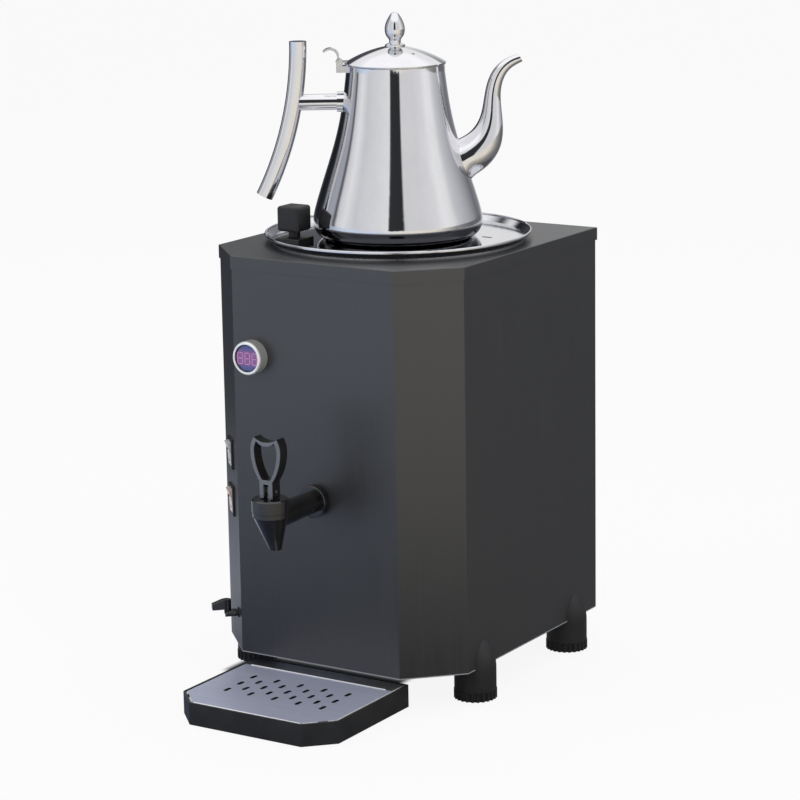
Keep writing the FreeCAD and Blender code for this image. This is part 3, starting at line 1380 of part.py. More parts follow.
def make_pot_hinge(place, turn, outside, lid):
    axis = V(mm("hinge_x"), 0, mm("hinge_z"))
    width = mm("hinge_width")
    barrel = mm("hinge_barrel_radius")
    bore = mm("hinge_pin_radius")
    ear = mm("hinge_ear")
    gap = mm("fork_gap")
    back = V(0, 1, 0)
    rim = mm("pot_height")
    ears = []
    for start in (-width / 2 - gap - ear, width / 2 + gap):
        disc = Part.makeCylinder(barrel, ear, axis + V(0, start, 0), back)
        web = Part.makeBox(2 * barrel + mm("hinge_reach"), ear, 2 * barrel,
                           V(axis.x - barrel, start, rim - mm("pot_rim_bead") - 2 * barrel))
        foot = rim - mm("pot_rim_bead") - barrel
        link = Part.makeBox(2 * barrel, ear, axis.z - foot, V(axis.x - barrel, start, foot))
        ears.append(disc.fuse(web).fuse(link))
    span = width + 2 * (gap + ear)
    strap = Part.makeBox(mm("hinge_reach"), span, barrel,
                         V(axis.x + barrel, -span / 2, rim - mm("pot_rim_bead") - 2 * barrel))
    hole = Part.makeCylinder(bore, 2 * span, axis - back * span, back)
    bracket = ears[0].fuse(ears[1]).fuse(strap).cut(outside).cut(pot_bead()).cut(hole)
    part(shaped("teapot_hinge_bracket", bracket, place, turn))
    pin = Part.makeCylinder(bore, span + 2 * gap, axis - back * (span / 2 + gap), back)
    part(shaped("teapot_hinge_pin", pin, place, turn))
    radius = mm("thumb_radius")
    thick = mm("thumb_thick")
    centre = axis + V(-radius, 0, mm("thumb_lift"))
    spots = []
    for size in (radius, radius - thick):
        for angle in THUMB_ANGLES:
            turned_by = math.radians(angle)
            spots.append(centre + V(math.cos(turned_by), 0, math.sin(turned_by)) * size)
    curl = [arc(*spots[:3])] + line(spots[2], spots[5]) + [arc(*spots[5:2:-1])] + line(spots[3], spots[0])
    scroll = Part.Face(Part.Wire(curl)).extrude(back * width)
    scroll.translate(V(0, -width / 2, 0))
    knuckle = Part.makeCylinder(barrel, width, axis - back * (width / 2), back)
    tab = Part.makeBox(mm("hinge_reach") + barrel, width, thick,
                       V(axis.x, -width / 2, mm("pot_lid_z") + mm("pot_lid_sheet")))
    play = Part.makeCylinder(bore + mm("running_play"), 2 * width, axis - back * width, back)
    thumb = scroll.fuse(knuckle).fuse(tab).cut(lid).cut(play)
    part(shaped("teapot_thumb_lever", thumb, place, turn))


def tray_outline(inset):
    """The tray seen from above, moved inwards by a length."""
    half = "(tray_width / 2 - (%s))" % inset
    flat = "(tray_width / 2 - tray_corner - bend_gain * (%s))" % inset
    near = "(tray_front + (%s))" % inset
    far = "(tray_front + tray_corner + bend_gain * (%s))" % inset
    back = "(tray_back - (%s))" % inset
    return [("-" + half, back), ("-" + half, far), ("-" + flat, near), (flat, near), (half, far),
            (half, back)]


def drip_slot_spots():
    """Staggered rows of drip slots, every other row with one slot less."""
    rows = int(mm("drip_rows"))
    spots = []
    for row in range(rows):
        count = int(mm("drip_row_slots")) - row % 2
        along = "front_y - drip_slots_set_out + %g * drip_slot_step_y" % (row - (rows - 1) / 2)
        for n in range(count):
            spots.append(("%g * drip_slot_step_x" % (n - (count - 1) / 2), along))
    return spots


def make_tray():
    basin = padded("drip_tray", "tray_height", tray_outline("0"))
    eased(basin, "tray_round", upright)
    eased(basin, "tray_edge", lies_at(mm("tray_height")))
    pocket(basin, "tray_height", tray_outline("tray_wall"), offset="ledge_top")
    pocket(basin, "tray_height", tray_outline("tray_wall + grate_ledge"), offset="tray_floor")
    part(basin)
    plate = padded("grate_plate", "grate_lip", tray_outline("grate_in"))
    eased(plate, "grate_round", lies_at(mm("grate_lip")))
    pocket(plate, "grate_lip - grate_thick", tray_outline("grate_in + grate_thick"))
    put(plate, ("0", "0", "grate_top - grate_lip"))
    slots = []
    for n, (x, y) in enumerate(tray_outline("grate_in")):
        corner = (x, y, "grate_top - grate_lip")
        slots.append(rod("grate_relief_%d" % n, "grate_relief", "2 * grate_lip", corner))
    straight = "drip_slot_length - drip_slot_width"
    for n, (x, y) in enumerate(drip_slot_spots()):
        low = "grate_top - 2 * grate_thick"
        high = "3 * grate_thick"
        middle = block("drip_slot_%d" % n, ("drip_slot_width", straight, high),
                       (x + " - drip_slot_width / 2", "%s - (%s) / 2" % (y, straight), low))
        near = rod("drip_slot_near_%d" % n, "drip_slot_width / 2", high,
                   (x, "%s - (%s) / 2" % (y, straight), low))
        far = rod("drip_slot_far_%d" % n, "drip_slot_width / 2", high,
                  (x, "%s + (%s) / 2" % (y, straight), low))
        slots += [middle, near, far]
    part(without("drip_grate", plate, *slots))


def check_document():
    doc.recompute()
    for item in doc.Objects:
        if "Invalid" in item.State or "Error" in item.State:
            raise ValueError("%s has failed" % item.Name)
    for item in parts:
        shape = item.Shape
        if shape.isNull() or not shape.isValid() or not shape.Solids:
            raise ValueError("%s has no valid shape" % item.Label)


def write_parts():
    os.makedirs("parts", exist_ok=True)
    for item in parts:
        item.Shape.exportStep("parts/%s.step" % item.Label)
        box = item.Shape.BoundBox
        facts = (item.Label, len(item.Shape.Solids), item.Shape.Volume, box.ZMin, box.ZMax)
        print("%-24s solids %2d  volume %9.0f  Z %.1f to %.1f" % facts)
    print(len(parts), "parts")


make_shell()
make_cover()
make_rear_panel()
make_base()
make_feet()
make_tank()
make_boiler_lid()
make_element()
make_electrics()
make_wiring()
make_thermometer()
make_tap_body()
make_tap_valve()
make_tap_lever()
make_tap_fixings()
make_switches()
make_drain()
make_teapot()
make_tray()
check_document()
write_parts()
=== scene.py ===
"""Looks of the hot water urn: finishes for every piece, finer visible pieces, studio and camera.

Metres, in the urn's own frame: +Z is up, the front panel faces -Y and the floor is at height 0.
"""

import math

import bmesh
import bpy
from mathutils import Matrix, Vector


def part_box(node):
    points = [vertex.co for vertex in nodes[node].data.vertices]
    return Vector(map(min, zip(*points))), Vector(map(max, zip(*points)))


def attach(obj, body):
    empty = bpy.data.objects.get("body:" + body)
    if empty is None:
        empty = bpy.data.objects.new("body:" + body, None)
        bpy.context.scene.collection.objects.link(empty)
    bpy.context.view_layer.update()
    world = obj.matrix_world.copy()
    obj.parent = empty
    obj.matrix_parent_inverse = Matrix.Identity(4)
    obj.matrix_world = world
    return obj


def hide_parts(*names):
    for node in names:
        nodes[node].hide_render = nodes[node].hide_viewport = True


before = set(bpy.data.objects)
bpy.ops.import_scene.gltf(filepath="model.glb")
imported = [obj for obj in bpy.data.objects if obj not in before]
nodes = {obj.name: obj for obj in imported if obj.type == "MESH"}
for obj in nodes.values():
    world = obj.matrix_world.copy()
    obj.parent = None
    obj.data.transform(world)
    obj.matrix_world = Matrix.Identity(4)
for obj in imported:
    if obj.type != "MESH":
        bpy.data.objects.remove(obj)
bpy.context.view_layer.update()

# Camera, from the case's edges in the photograph
CAMERA_PLACE = Vector((1.4213, -2.1732, 0.8488))
CAMERA_AZIMUTH = math.radians(32.57)
CAMERA_ELEVATION = math.radians(12.73)
CAMERA_ROLL = math.radians(-0.96)
CAMERA_LENS = 129.1
SENSOR_WIDTH = 36

# The grate's flat top ends below this height, and its folded edges lie outside these places
GRATE_FLAT, GRATE_SIDE, GRATE_FRONT = 0.02077, 0.076, -0.2
# The ridge across the back of the grate
RIDGE_Y = -0.0965
RIDGE_BLEND = 0.0002
# Middle of the thermometer's face
GAUGE_X, GAUGE_Z = -0.065, 0.315
GAUGE = (GAUGE_X, 0, GAUGE_Z)

# Where painted tones start and are full: heights of the painted highlight on the shell and of the
# painted reflection band on the pot, places from front to back of the painted highlights on the lever
# and on the bezel, and distances from the middle of the display for its own haze and rim
SHELL_EDGE_HIGHLIGHT = (0.0322, 0.0318)
POT_REFLECTION_TOP, POT_REFLECTION_END = (0.4242, 0.4226), (0.4115, 0.4105)
LEVER_RIM_HIGHLIGHTS = (-0.17, -0.1703)
BEZEL_FACE_HIGHLIGHT = (-0.1036, -0.1042)
DISPLAY_HAZE = (0.0095, 0.0045)
DISPLAY_RIM = (0.0112, 0.0118)


def linear(red, green, blue):
    """A colour given as it shows on a screen, 0 to 255, as the shader's linear values."""
    def curve(value):
        share = value / 255
        return share / 12.92 if share <= 0.04045 else ((share + 0.055) / 1.055) ** 2.4

    return curve(red), curve(green), curve(blue), 1


def set_camera():
    """The camera at the photograph's viewing angle."""
    ahead = Vector((-math.sin(CAMERA_AZIMUTH) * math.cos(CAMERA_ELEVATION),
                    math.cos(CAMERA_AZIMUTH) * math.cos(CAMERA_ELEVATION),
                    -math.sin(CAMERA_ELEVATION)))
    level = Vector((math.cos(CAMERA_AZIMUTH), math.sin(CAMERA_AZIMUTH), 0))
    upright = level.cross(ahead)
    right = level * math.cos(CAMERA_ROLL) + upright * math.sin(CAMERA_ROLL)
    above = upright * math.cos(CAMERA_ROLL) - level * math.sin(CAMERA_ROLL)
    data = bpy.data.cameras.new("camera")
    data.lens = CAMERA_LENS
    data.sensor_width = SENSOR_WIDTH
    camera = bpy.data.objects.new("camera", data)
    turn = Matrix((right, above, -ahead)).transposed()
    camera.matrix_world = Matrix.Translation(CAMERA_PLACE) @ turn.to_4x4()
    bpy.context.scene.collection.objects.link(camera)
    bpy.context.scene.camera = camera


def math_node(tree, operation, *values):
    """A Math node; each value is a number or the output of another node."""
    made = tree.nodes.new("ShaderNodeMath")
    made.operation = operation
    for place, value in enumerate(values):
        if isinstance(value, (int, float)):
            made.inputs[place].default_value = value
        else:
            tree.links.new(value, made.inputs[place])
    return made.outputs[0]


def ramp_between(tree, source, start, end, low=0.0, high=1.0):
    """From low to high, smoothly, while source goes from start to end."""
    made = tree.nodes.new("ShaderNodeMapRange")
    made.interpolation_type = "SMOOTHSTEP"
    for name, value in (("From Min", start), ("From Max", end), ("To Min", low), ("To Max", high)):
        made.inputs[name].default_value = value
    tree.links.new(source, made.inputs["Value"])
    return made.outputs["Result"]


def mix_colour(tree, share, first, second):
    """first where share is 0 and second where it is 1; each a colour or an output."""
    mix = tree.nodes.new("ShaderNodeMix")
    mix.data_type = "RGBA"
    for socket, value in ((0, share), (6, first), (7, second)):
        if isinstance(value, (tuple, float, int)):
            mix.inputs[socket].default_value = value
        else:
            tree.links.new(value, mix.inputs[socket])
    return mix.outputs[2]


class Finish:
    """A material and the nodes that patterns are built from."""

    def __init__(self, name, colour, roughness, metallic=0.0):
        self.material = bpy.data.materials.new(name)
        self.material.use_nodes = True
        self.tree = self.material.node_tree
        self.shader = self.tree.nodes["Principled BSDF"]
        self.colour = colour
        self.set("Base Color", colour)
        self.set("Roughness", roughness)
        self.set("Metallic", metallic)

    def set(self, socket, value):
        """Set one of the shader's own sockets."""
        self.shader.inputs[socket].default_value = value
        return self

    def add(self, kind, **inputs):
        """A new node, with some of its inputs set."""
        made = self.tree.nodes.new(kind)
        for name, value in inputs.items():
            made.inputs[name.replace("_", " ")].default_value = value
        return made

    def link(self, out, into):
        self.tree.links.new(out, into)

    def place(self, stretch=(1, 1, 1), middle=(0, 0, 0)):
        """Object coordinates, moved so that middle is the origin and then stretched."""
        source = self.add("ShaderNodeTexCoord")
        moved = self.add("ShaderNodeVectorMath")
        moved.operation = "SUBTRACT"
        moved.inputs[1].default_value = middle
        self.link(source.outputs["Object"], moved.inputs[0])
        scaled = self.add("ShaderNodeVectorMath")
        scaled.operation = "MULTIPLY"
        scaled.inputs[1].default_value = stretch
        self.link(moved.outputs[0], scaled.inputs[0])
        return scaled.outputs[0]

    def noise(self, where, scale, detail=4.0, roughness=0.6):
        """Cloudy numbers from 0 to 1."""
        made = self.add("ShaderNodeTexNoise", Scale=scale, Detail=detail, Roughness=roughness)
        self.link(where, made.inputs["Vector"])
        return made.outputs["Fac"]

    def spread(self, source, low, high, start=0.3, end=0.7):
        """Numbers from low to high while source goes from start to end."""
        made = self.add("ShaderNodeMapRange")
        made.inputs["From Min"].default_value = start
        made.inputs["From Max"].default_value = end
        made.inputs["To Min"].default_value = low
        made.inputs["To Max"].default_value = high
        self.link(source, made.inputs["Value"])
        return made.outputs["Result"]

    def rough(self, source, low, high):
        """Let the roughness vary from low to high with a source."""
        self.link(self.spread(source, low, high), self.shader.inputs["Roughness"])
        return self

    def tint(self, source, other, start=0.3, end=0.7):
        """Mix the base colour with another by a source."""
        share = self.spread(source, 0, 1, start, end)
        self.link(mix_colour(self.tree, share, self.colour, other), self.shader.inputs["Base Color"])
        return self

    def pattern(self):
        """The output that the base colour comes from so far."""
        return self.shader.inputs["Base Color"].links[0].from_socket

    def over(self, source, colour, start, end):
        """Paint a second colour over the pattern where source has gone from start to end."""
        share = self.spread(source, 0, 1, start, end)
        self.link(mix_colour(self.tree, share, self.pattern(), colour), self.shader.inputs["Base Color"])
        return self

    def part_of_place(self, axis, middle=(0, 0, 0)):
        """One Object coordinate, counted from middle: 0 across, 1 along, 2 up."""
        parts = self.add("ShaderNodeSeparateXYZ")
        self.link(self.place((1, 1, 1), middle), parts.inputs[0])
        return parts.outputs[axis]

    def round_axis(self, middle):
        """Distance from the level line through middle that runs from front to back."""
        length = self.add("ShaderNodeVectorMath")
        length.operation = "LENGTH"
        self.link(self.place((1, 0, 1), middle), length.inputs[0])
        return length.outputs["Value"]

    def work_out(self, operation, *values):
        """A Math node in this finish."""
        return math_node(self.tree, operation, *values)

    def bump(self, source, depth, strength=1.0):
        """Raise the surface by a source, at most by depth."""
        made = self.add("ShaderNodeBump", Strength=strength, Distance=depth)
        self.link(source, made.inputs["Height"])
        self.link(made.outputs["Normal"], self.shader.inputs["Normal"])
        return self


def case_black(name="case_black"):
    """Black coated sheet steel with a faint upright brushed grain."""
    made = Finish(name, linear(34, 35, 37), roughness=0.36)
    made.set("Specular IOR Level", 0.95)
    grain = made.noise(made.place(stretch=(1, 1, 0.012)), scale=900, detail=5, roughness=0.65)
    made.tint(grain, linear(43, 44, 47))
    made.rough(grain, low=0.33, high=0.44)
    made.bump(grain, depth=0.00002, strength=0.35)
    return made


def shell_black():
    """The case's black with a painted highlight: a pale line along the sheet's lower edge."""
    made = case_black("shell_black")
    return made.over(made.part_of_place(2), linear(150, 152, 158), *SHELL_EDGE_HIGHLIGHT)


def polished_steel(name="polished_steel"):
    """Mirror-polished stainless steel with faint wipe marks."""
    made = Finish(name, linear(226, 226, 228), roughness=0.05, metallic=1.0)
    wiped = made.noise(made.place(stretch=(1, 1, 0.4)), scale=60, detail=6, roughness=0.7)
    made.rough(wiped, low=0.03, high=0.075)
    made.tint(wiped, linear(218, 218, 221))
    made.bump(made.noise(made.place(), scale=35, detail=2), depth=0.00004, strength=0.25)
    return made


def pot_steel():
    """The mirror polish with a painted reflection: a dark band round the pot's foot."""
    made = polished_steel("pot_steel")
    made.over(made.part_of_place(2), linear(70, 71, 75), *POT_REFLECTION_TOP)
    return made.over(made.part_of_place(2), linear(210, 210, 212), *POT_REFLECTION_END)


def dish_steel():
    """Polished pressing of the boiler lid, wiped from side to side."""
    made = Finish("dish_steel", linear(214, 214, 217), roughness=0.07, metallic=1.0)
    wiped = made.noise(made.place(stretch=(1, 0.15, 1)), scale=260, detail=6, roughness=0.7)
    made.rough(wiped, low=0.05, high=0.13)
    made.tint(wiped, linear(204, 204, 208))
    return made


def grate_steel():
    """Satin stainless sheet, dark behind its ridge, with painted shade in its holes and painted
    highlights on its folds.
    """
    made = Finish("grate_steel", linear(204, 210, 234), roughness=0.34, metallic=0.35)
    made.set("Coat Weight", 0.5)
    made.set("Coat Roughness", 0.05)
    grain = made.noise(made.place(stretch=(0.02, 1, 1)), scale=700, detail=5, roughness=0.65)
    made.rough(grain, low=0.28, high=0.4)
    made.tint(grain, linear(190, 196, 220))
    across, along, height = (made.part_of_place(axis) for axis in range(3))
    made.over(along, linear(72, 72, 76), RIDGE_Y - RIDGE_BLEND, RIDGE_Y + RIDGE_BLEND)
    # Painted shade: dark below the flat top, on the hole walls and the folds
    below = made.work_out("LESS_THAN", height, GRATE_FLAT)
    made.over(below, linear(36, 36, 38), 0, 1)
    # Painted highlights: pale on the outer faces of the folds at the sides and front
    side = made.work_out("GREATER_THAN", made.work_out("ABSOLUTE", across), GRATE_SIDE)
    edge = made.work_out("MAXIMUM", side, made.work_out("LESS_THAN", along, GRATE_FRONT))
    made.over(made.work_out("MULTIPLY", below, edge), linear(250, 250, 252), 0, 1)
    made.bump(grain, depth=0.00001, strength=0.3)
    return made


def satin_aluminium():
    """Turned aluminium with fine rings round the thermometer's middle, its front face painted white as a
    highlight.
    """
    made = Finish("satin_aluminium", linear(206, 205, 202), roughness=0.32, metallic=0.45)
    grain = made.noise(made.round_axis(GAUGE), scale=5200, detail=4)
    made.tint(grain, linear(186, 185, 182))
    made.rough(grain, low=0.26, high=0.4)
    made.over(made.part_of_place(1), linear(255, 255, 255), *BEZEL_FACE_HIGHLIGHT)
    made.bump(grain, depth=0.00002, strength=0.3)
    return made


def brushed_steel(name="brushed_steel", stretch=(0.02, 1, 1)):
    """Steel with a grain drawn out along the axis that has the smallest stretch."""
    made = Finish(name, linear(196, 196, 198), roughness=0.3, metallic=1.0)
    grain = made.noise(made.place(stretch), scale=900, detail=5, roughness=0.65)
    made.rough(grain, low=0.22, high=0.38)
    made.tint(grain, linear(176, 176, 179))
    made.bump(grain, depth=0.00002, strength=0.4)
    return made


def satin_steel():
    """Small pressed steel parts, softly polished."""
    made = Finish("satin_steel", linear(228, 228, 230), roughness=0.2, metallic=1.0)
    wiped = made.noise(made.place(), scale=120, detail=5, roughness=0.6)
    made.rough(wiped, low=0.17, high=0.25)
    made.tint(wiped, linear(216, 216, 219))
    return made


def galvanised():
    """Zinc-dipped sheet with its pale and dark flakes."""
    made = Finish("galvanised_sheet", linear(168, 172, 176), roughness=0.42, metallic=1.0)
    flakes = made.add("ShaderNodeTexVoronoi", Scale=130)
    made.link(made.place(), flakes.inputs["Vector"])
    made.tint(flakes.outputs["Distance"], linear(140, 145, 150), 0.1, 0.6)
    made.rough(made.noise(made.place(), scale=90), low=0.32, high=0.55)
    return made


def moulded(name, colour, other, roughness, grain_scale=1400, depth=0.00003, coat=0.0):
    """A moulded plastic: slight variation of colour and gloss and a fine skin texture."""
    low, high = roughness
    made = Finish(name, linear(*colour), low)
    made.set("Coat Weight", coat)
    broad = made.noise(made.place(), scale=45, detail=5, roughness=0.6)
    made.tint(broad, linear(*other))
    made.rough(broad, low=low, high=high)
    made.bump(made.noise(made.place(), scale=grain_scale, detail=3), depth=depth, strength=0.4)
    return made


def lever_plastic():
    """The tap's plastic with painted highlights: pale rims on the faces turned to the front."""
    made = moulded("lever_plastic", (16, 16, 18), (24, 24, 26), (0.16, 0.26), coat=0.5)
    made.set("Coat Roughness", 0.12)
    return made.over(made.part_of_place(1), linear(100, 104, 114), *LEVER_RIM_HIGHLIGHTS)


def wool():
    """Matted mineral wool."""
    made = Finish("mineral_wool", linear(196, 178, 128), roughness=0.95)
    strands = made.noise(made.place(stretch=(1, 1, 3)), scale=220, detail=8, roughness=0.8)
    made.tint(strands, linear(150, 132, 88))
    made.bump(strands, depth=0.002, strength=0.8)
    return made


def glass_lens():
    """Clear plastic of the display's window."""
    made = Finish("lens_plastic", linear(225, 228, 240), roughness=0.06)
    made.set("Transmission Weight", 1.0)
    made.set("IOR", 1.3)
    made.bump(made.noise(made.place(), scale=120, detail=2), depth=0.00002, strength=0.15)
    return made


# How far a glow and the colour under it vary over a lit face
GLOW_LOW, GLOW_HIGH = 0.8, 1.2
LIT_SHADE = 0.85


def lit(name, colour, glow, strength, roughness=0.3):
    """A lit piece whose glow varies a little over its face."""
    made = Finish(name, linear(*colour), roughness)
    made.set("Emission Color", linear(*glow))
    patches = made.noise(made.place(), scale=300, detail=3)
    glow_level = made.spread(patches, GLOW_LOW * strength, GLOW_HIGH * strength)
    made.link(glow_level, made.shader.inputs["Emission Strength"])
    made.tint(patches, linear(*[LIT_SHADE * value for value in colour]))
    return made


def display_face():
    """Violet-blue display with a pink haze behind the digits and a dark rim."""
    made = Finish("display_face", linear(84, 92, 146), roughness=0.35)
    height = made.work_out("ABSOLUTE", made.part_of_place(2, GAUGE))
    made.tint(height, linear(146, 104, 154), *DISPLAY_HAZE)
    made.over(made.round_axis(GAUGE), linear(20, 20, 36), *DISPLAY_RIM)
    made.link(made.pattern(), made.shader.inputs["Emission Color"])
    made.set("Emission Strength", 0.35)
    made.rough(made.noise(made.place(), scale=240), low=0.25, high=0.4)
    return made


def make_finishes():
    """The materials, by the short names used below."""
    made = {
        "case": case_black(),
        "shell": shell_black(),
        "aluminium": satin_aluminium(),
        "lever": lever_plastic(),
        "pot": pot_steel(),
        "satin": satin_steel(),
        "polished": polished_steel(),
        "dish": dish_steel(),
        "grate": grate_steel(),
        "brushed": brushed_steel(),
        "tank": brushed_steel("tank_steel", (1, 1, 0.02)),
        "galvanised": galvanised(),
        "zinc": brushed_steel("zinc_plating", (1, 1, 1)),
        "tap": moulded("tap_plastic", (16, 16, 18), (24, 24, 26), (0.16, 0.26), coat=0.6),
        "knob": moulded("knob_plastic", (22, 22, 24), (30, 30, 32), (0.38, 0.5)),
        "foot": moulded("foot_rubber", (26, 26, 28), (36, 36, 38), (0.42, 0.6), 900, 0.00008),
        "tray": moulded("tray_plastic", (36, 37, 39), (44, 45, 47), (0.3, 0.42)),
        "switch": moulded("switch_plastic", (18, 18, 20), (26, 26, 28), (0.3, 0.42)),
        "nylon": moulded("gland_nylon", (30, 30, 32), (40, 40, 42), (0.42, 0.55)),
        "terminal": moulded("terminal_plastic", (222, 220, 212), (206, 204, 196), (0.4, 0.5)),
        "silicone": moulded("hose_silicone", (226, 226, 220), (206, 206, 200), (0.35, 0.5)),
        "wire": moulded("wire_sleeve", (122, 62, 34), (96, 48, 28), (0.4, 0.5)),
        "wool": wool(),
        "lens": glass_lens(),
        "face": display_face(),
        "digits": lit("display_digits", (214, 150, 184), (255, 150, 190), 0.42),
        "white_rocker": lit("white_rocker", (214, 214, 218), (200, 200, 210), 0.12, 0.2),
        "amber_rocker": lit("amber_rocker", (218, 212, 210), (255, 170, 140), 0.07, 0.2),
    }
    return {key: finish.material for key, finish in made.items()}


# The finish of each piece of the frame, by the start of its name
FINISH_OF = (
    ("body_shell", "shell"), ("top_cover", "case"), ("rear_panel", "case"), ("panel_screws", "zinc"),
    ("foot_screws", "zinc"), ("base_plate", "galvanised"), ("tank_brackets", "galvanised"),
    ("boiler_tank", "tank"), ("outlet_pipe", "tank"), ("insulation_jacket", "wool"),
    ("boiler_lid", "dish"), ("drip_grate", "grate"), ("lid_knob_screw", "zinc"), ("lid_knob", "knob"),
    ("heating_element", "tank"), ("thermostat", "zinc"), ("safety_cutout", "zinc"),
    ("cable_gland", "nylon"), ("terminal_block", "terminal"), ("wiring", "wire"),
    ("thermometer_bezel", "aluminium"), ("thermometer_lens", "lens"), ("thermometer_display", "face"),
    ("thermometer", "brushed"), ("tap_stem", "brushed"), ("tap_pin", "brushed"),
    ("tap_spring", "brushed"), ("tap_seat_cup", "silicone"), ("tap_back_nut", "zinc"),
    ("tap_lever", "lever"), ("tap", "tap"),
    ("upper_switch_rocker", "white_rocker"), ("lower_switch_rocker", "amber_rocker"),
    ("upper_switch", "switch"), ("lower_switch", "switch"), ("drain_hose", "silicone"),
    ("drain_valve", "tap"), ("drain_lever", "tap"), ("teapot_body", "pot"),
    ("teapot_thumb_lever", "satin"), ("teapot_hinge", "satin"),
    ("teapot", "polished"), ("drip_tray", "tray"),
)


def finish_key(name):
    """The short name of the finish of one piece of the frame."""
    if name.endswith(("_foot", "_levelling_ring")):
        return "foot"
    return next(key for start, key in FINISH_OF if name.startswith(start))


def dress_nodes(finishes):
    """Give every piece of the frame its finish."""
    for name, item in nodes.items():
        item.data.materials.clear()
        item.data.materials.append(finishes[finish_key(name)])


# What polished metal and gloss paint see round the urn, as (degrees right of the camera, colour):
# two broad softboxes with a dark gap at the camera, flags at the sides and a shaded wall behind
STUDIO_RING = (
    (-180, (92, 94, 100)), (-152, (30, 31, 35)), (-134, (40, 42, 48)), (-127, (160, 163, 174)),
    (-104, (176, 179, 188)), (-98, (70, 72, 78)), (-93, (222, 223, 226)), (-80, (250, 250, 252)),
    (-64, (224, 225, 228)), (-40, (234, 235, 237)), (-13.5, (248, 248, 248)), (-12.5, (54, 55, 57)),
    (8, (50, 51, 54)), (9, (232, 232, 232)), (36, (232, 232, 234)), (56, (240, 240, 242)),
    (68, (255, 255, 255)), (80, (250, 250, 250)), (92, (214, 216, 219)), (114, (182, 184, 188)),
    (140, (118, 120, 125)), (165, (150, 152, 156)), (180, (92, 94, 100)),
)
# The floor far off and near the urn, as gloss sees it: bluish on the left, warm on the right, dark in
# front of it;
# the near ring, darker in most directions, is painted shade on the floor round the urn
FAR_FLOOR = (
    (-180, (92, 94, 100)), (-150, (40, 42, 48)), (-124, (120, 126, 140)), (-80, (222, 236, 255)),
    (-40, (222, 234, 255)), (0, (250, 246, 238)), (50, (250, 242, 226)), (84, (160, 158, 155)),
    (114, (112, 112, 114)), (150, (112, 114, 119)), (180, (92, 94, 100)),
)
NEAR_FLOOR = (
    (-180, (120, 124, 136)), (-165, (226, 232, 250)), (-140, (226, 232, 250)), (-110, (120, 124, 136)),
    (-80, (96, 106, 134)), (-40, (78, 84, 104)), (10, (74, 72, 68)), (60, (100, 99, 97)),
    (140, (130, 130, 132)), (180, (120, 124, 136)),
)
# How steeply a direction rises where the ring ends, where the ceiling is full, and where the wall
# behind the urn starts to turn white and is white
RING_TOP, CEILING_FULL = 0.58, 0.74
BACK_WALL, BACK_WALL_FULL = 0.36, 0.46
# How nearly a direction points at that wall, at its edge and where it is full
BACK_EDGE, BACK_FULL = 0.55, 0.7


def ring_colour(tree, across, along, ring):
    """The colour of a ring in the direction given by its two level parts."""
    camera_side = math.radians(-90) + CAMERA_AZIMUTH
    turn = math_node(tree, "ARCTAN2", along, across)
    offset = math_node(tree, "SUBTRACT", turn, camera_side)
    turns = math_node(tree, "DIVIDE", offset, math.tau)
    share = math_node(tree, "FRACT", math_node(tree, "ADD", turns, 0.5))
    ramp = tree.nodes.new("ShaderNodeValToRGB")
    stops = ramp.color_ramp.elements
    for index, (degrees, colour) in enumerate(ring):
        place = degrees / 360 + 0.5
        stop = stops[index] if index == 0 else stops.new(place)
        stop.position = place
        stop.color = linear(*colour)
    tree.links.new(share, ramp.inputs["Fac"])
    return ramp.outputs["Color"]


WHITE = (1, 1, 1, 1)
CEILING = (1.25, 1.25, 1.27, 1)
WORLD_FILL = (0.5, 0.5, 0.5, 1)


def seen_straight(tree, path):
    """1 for what the camera sees itself or through glass."""
    return math_node(tree, "MAXIMUM", path.outputs["Is Camera Ray"], path.outputs["Is Transmission Ray"])


def set_world():
    """White to the camera, the studio ring and a white ceiling to gloss, an even fill to the rest."""
    world = bpy.data.worlds.new("studio")
    world.use_nodes = True
    bpy.context.scene.world = world
    tree = world.node_tree
    place = tree.nodes.new("ShaderNodeTexCoord")
    parts = tree.nodes.new("ShaderNodeSeparateXYZ")
    tree.links.new(place.outputs["Generated"], parts.inputs[0])
    ring = ring_colour(tree, parts.outputs[0], parts.outputs[1], STUDIO_RING)
    behind = tree.nodes.new("ShaderNodeVectorMath")
    behind.operation = "DOT_PRODUCT"
    tree.links.new(place.outputs["Generated"], behind.inputs[0])
    behind.inputs[1].default_value = (-math.sin(CAMERA_AZIMUTH), math.cos(CAMERA_AZIMUTH), 0)
    back = ramp_between(tree, behind.outputs["Value"], BACK_EDGE, BACK_FULL)
    wall = ramp_between(tree, parts.outputs[2], BACK_WALL, BACK_WALL_FULL)
    ring = mix_colour(tree, math_node(tree, "MULTIPLY", back, wall), ring, WHITE)
    high = ramp_between(tree, parts.outputs[2], RING_TOP, CEILING_FULL)
    studio = mix_colour(tree, high, ring, CEILING)
    path = tree.nodes.new("ShaderNodeLightPath")
    colour = mix_colour(tree, path.outputs["Is Glossy Ray"], WORLD_FILL, studio)
    colour = mix_colour(tree, seen_straight(tree, path), colour, WHITE)
    tree.links.new(colour, tree.nodes["Background"].inputs["Color"])


FLOOR_SIZE, FLOOR_DROP = 14, 0.0005
FLOOR_COLOUR, FLOOR_ROUGHNESS = (0.9, 0.9, 0.9, 1), 0.8
FLOOR_KEEPS_SHADE = 0.1
# How far out the floor that gloss sees is wholly the near one, and from where it is the far one
NEAR, FAR = 0.15, 1.3
# The painted shade on the floor behind the tray: the soft edge of each of its sides
SHADE_LEFT, SHADE_RIGHT = (-0.132, -0.122), (0.038, 0.048)
SHADE_FRONT, SHADE_BACK = (-0.075, -0.062), (-0.02, 0.02)


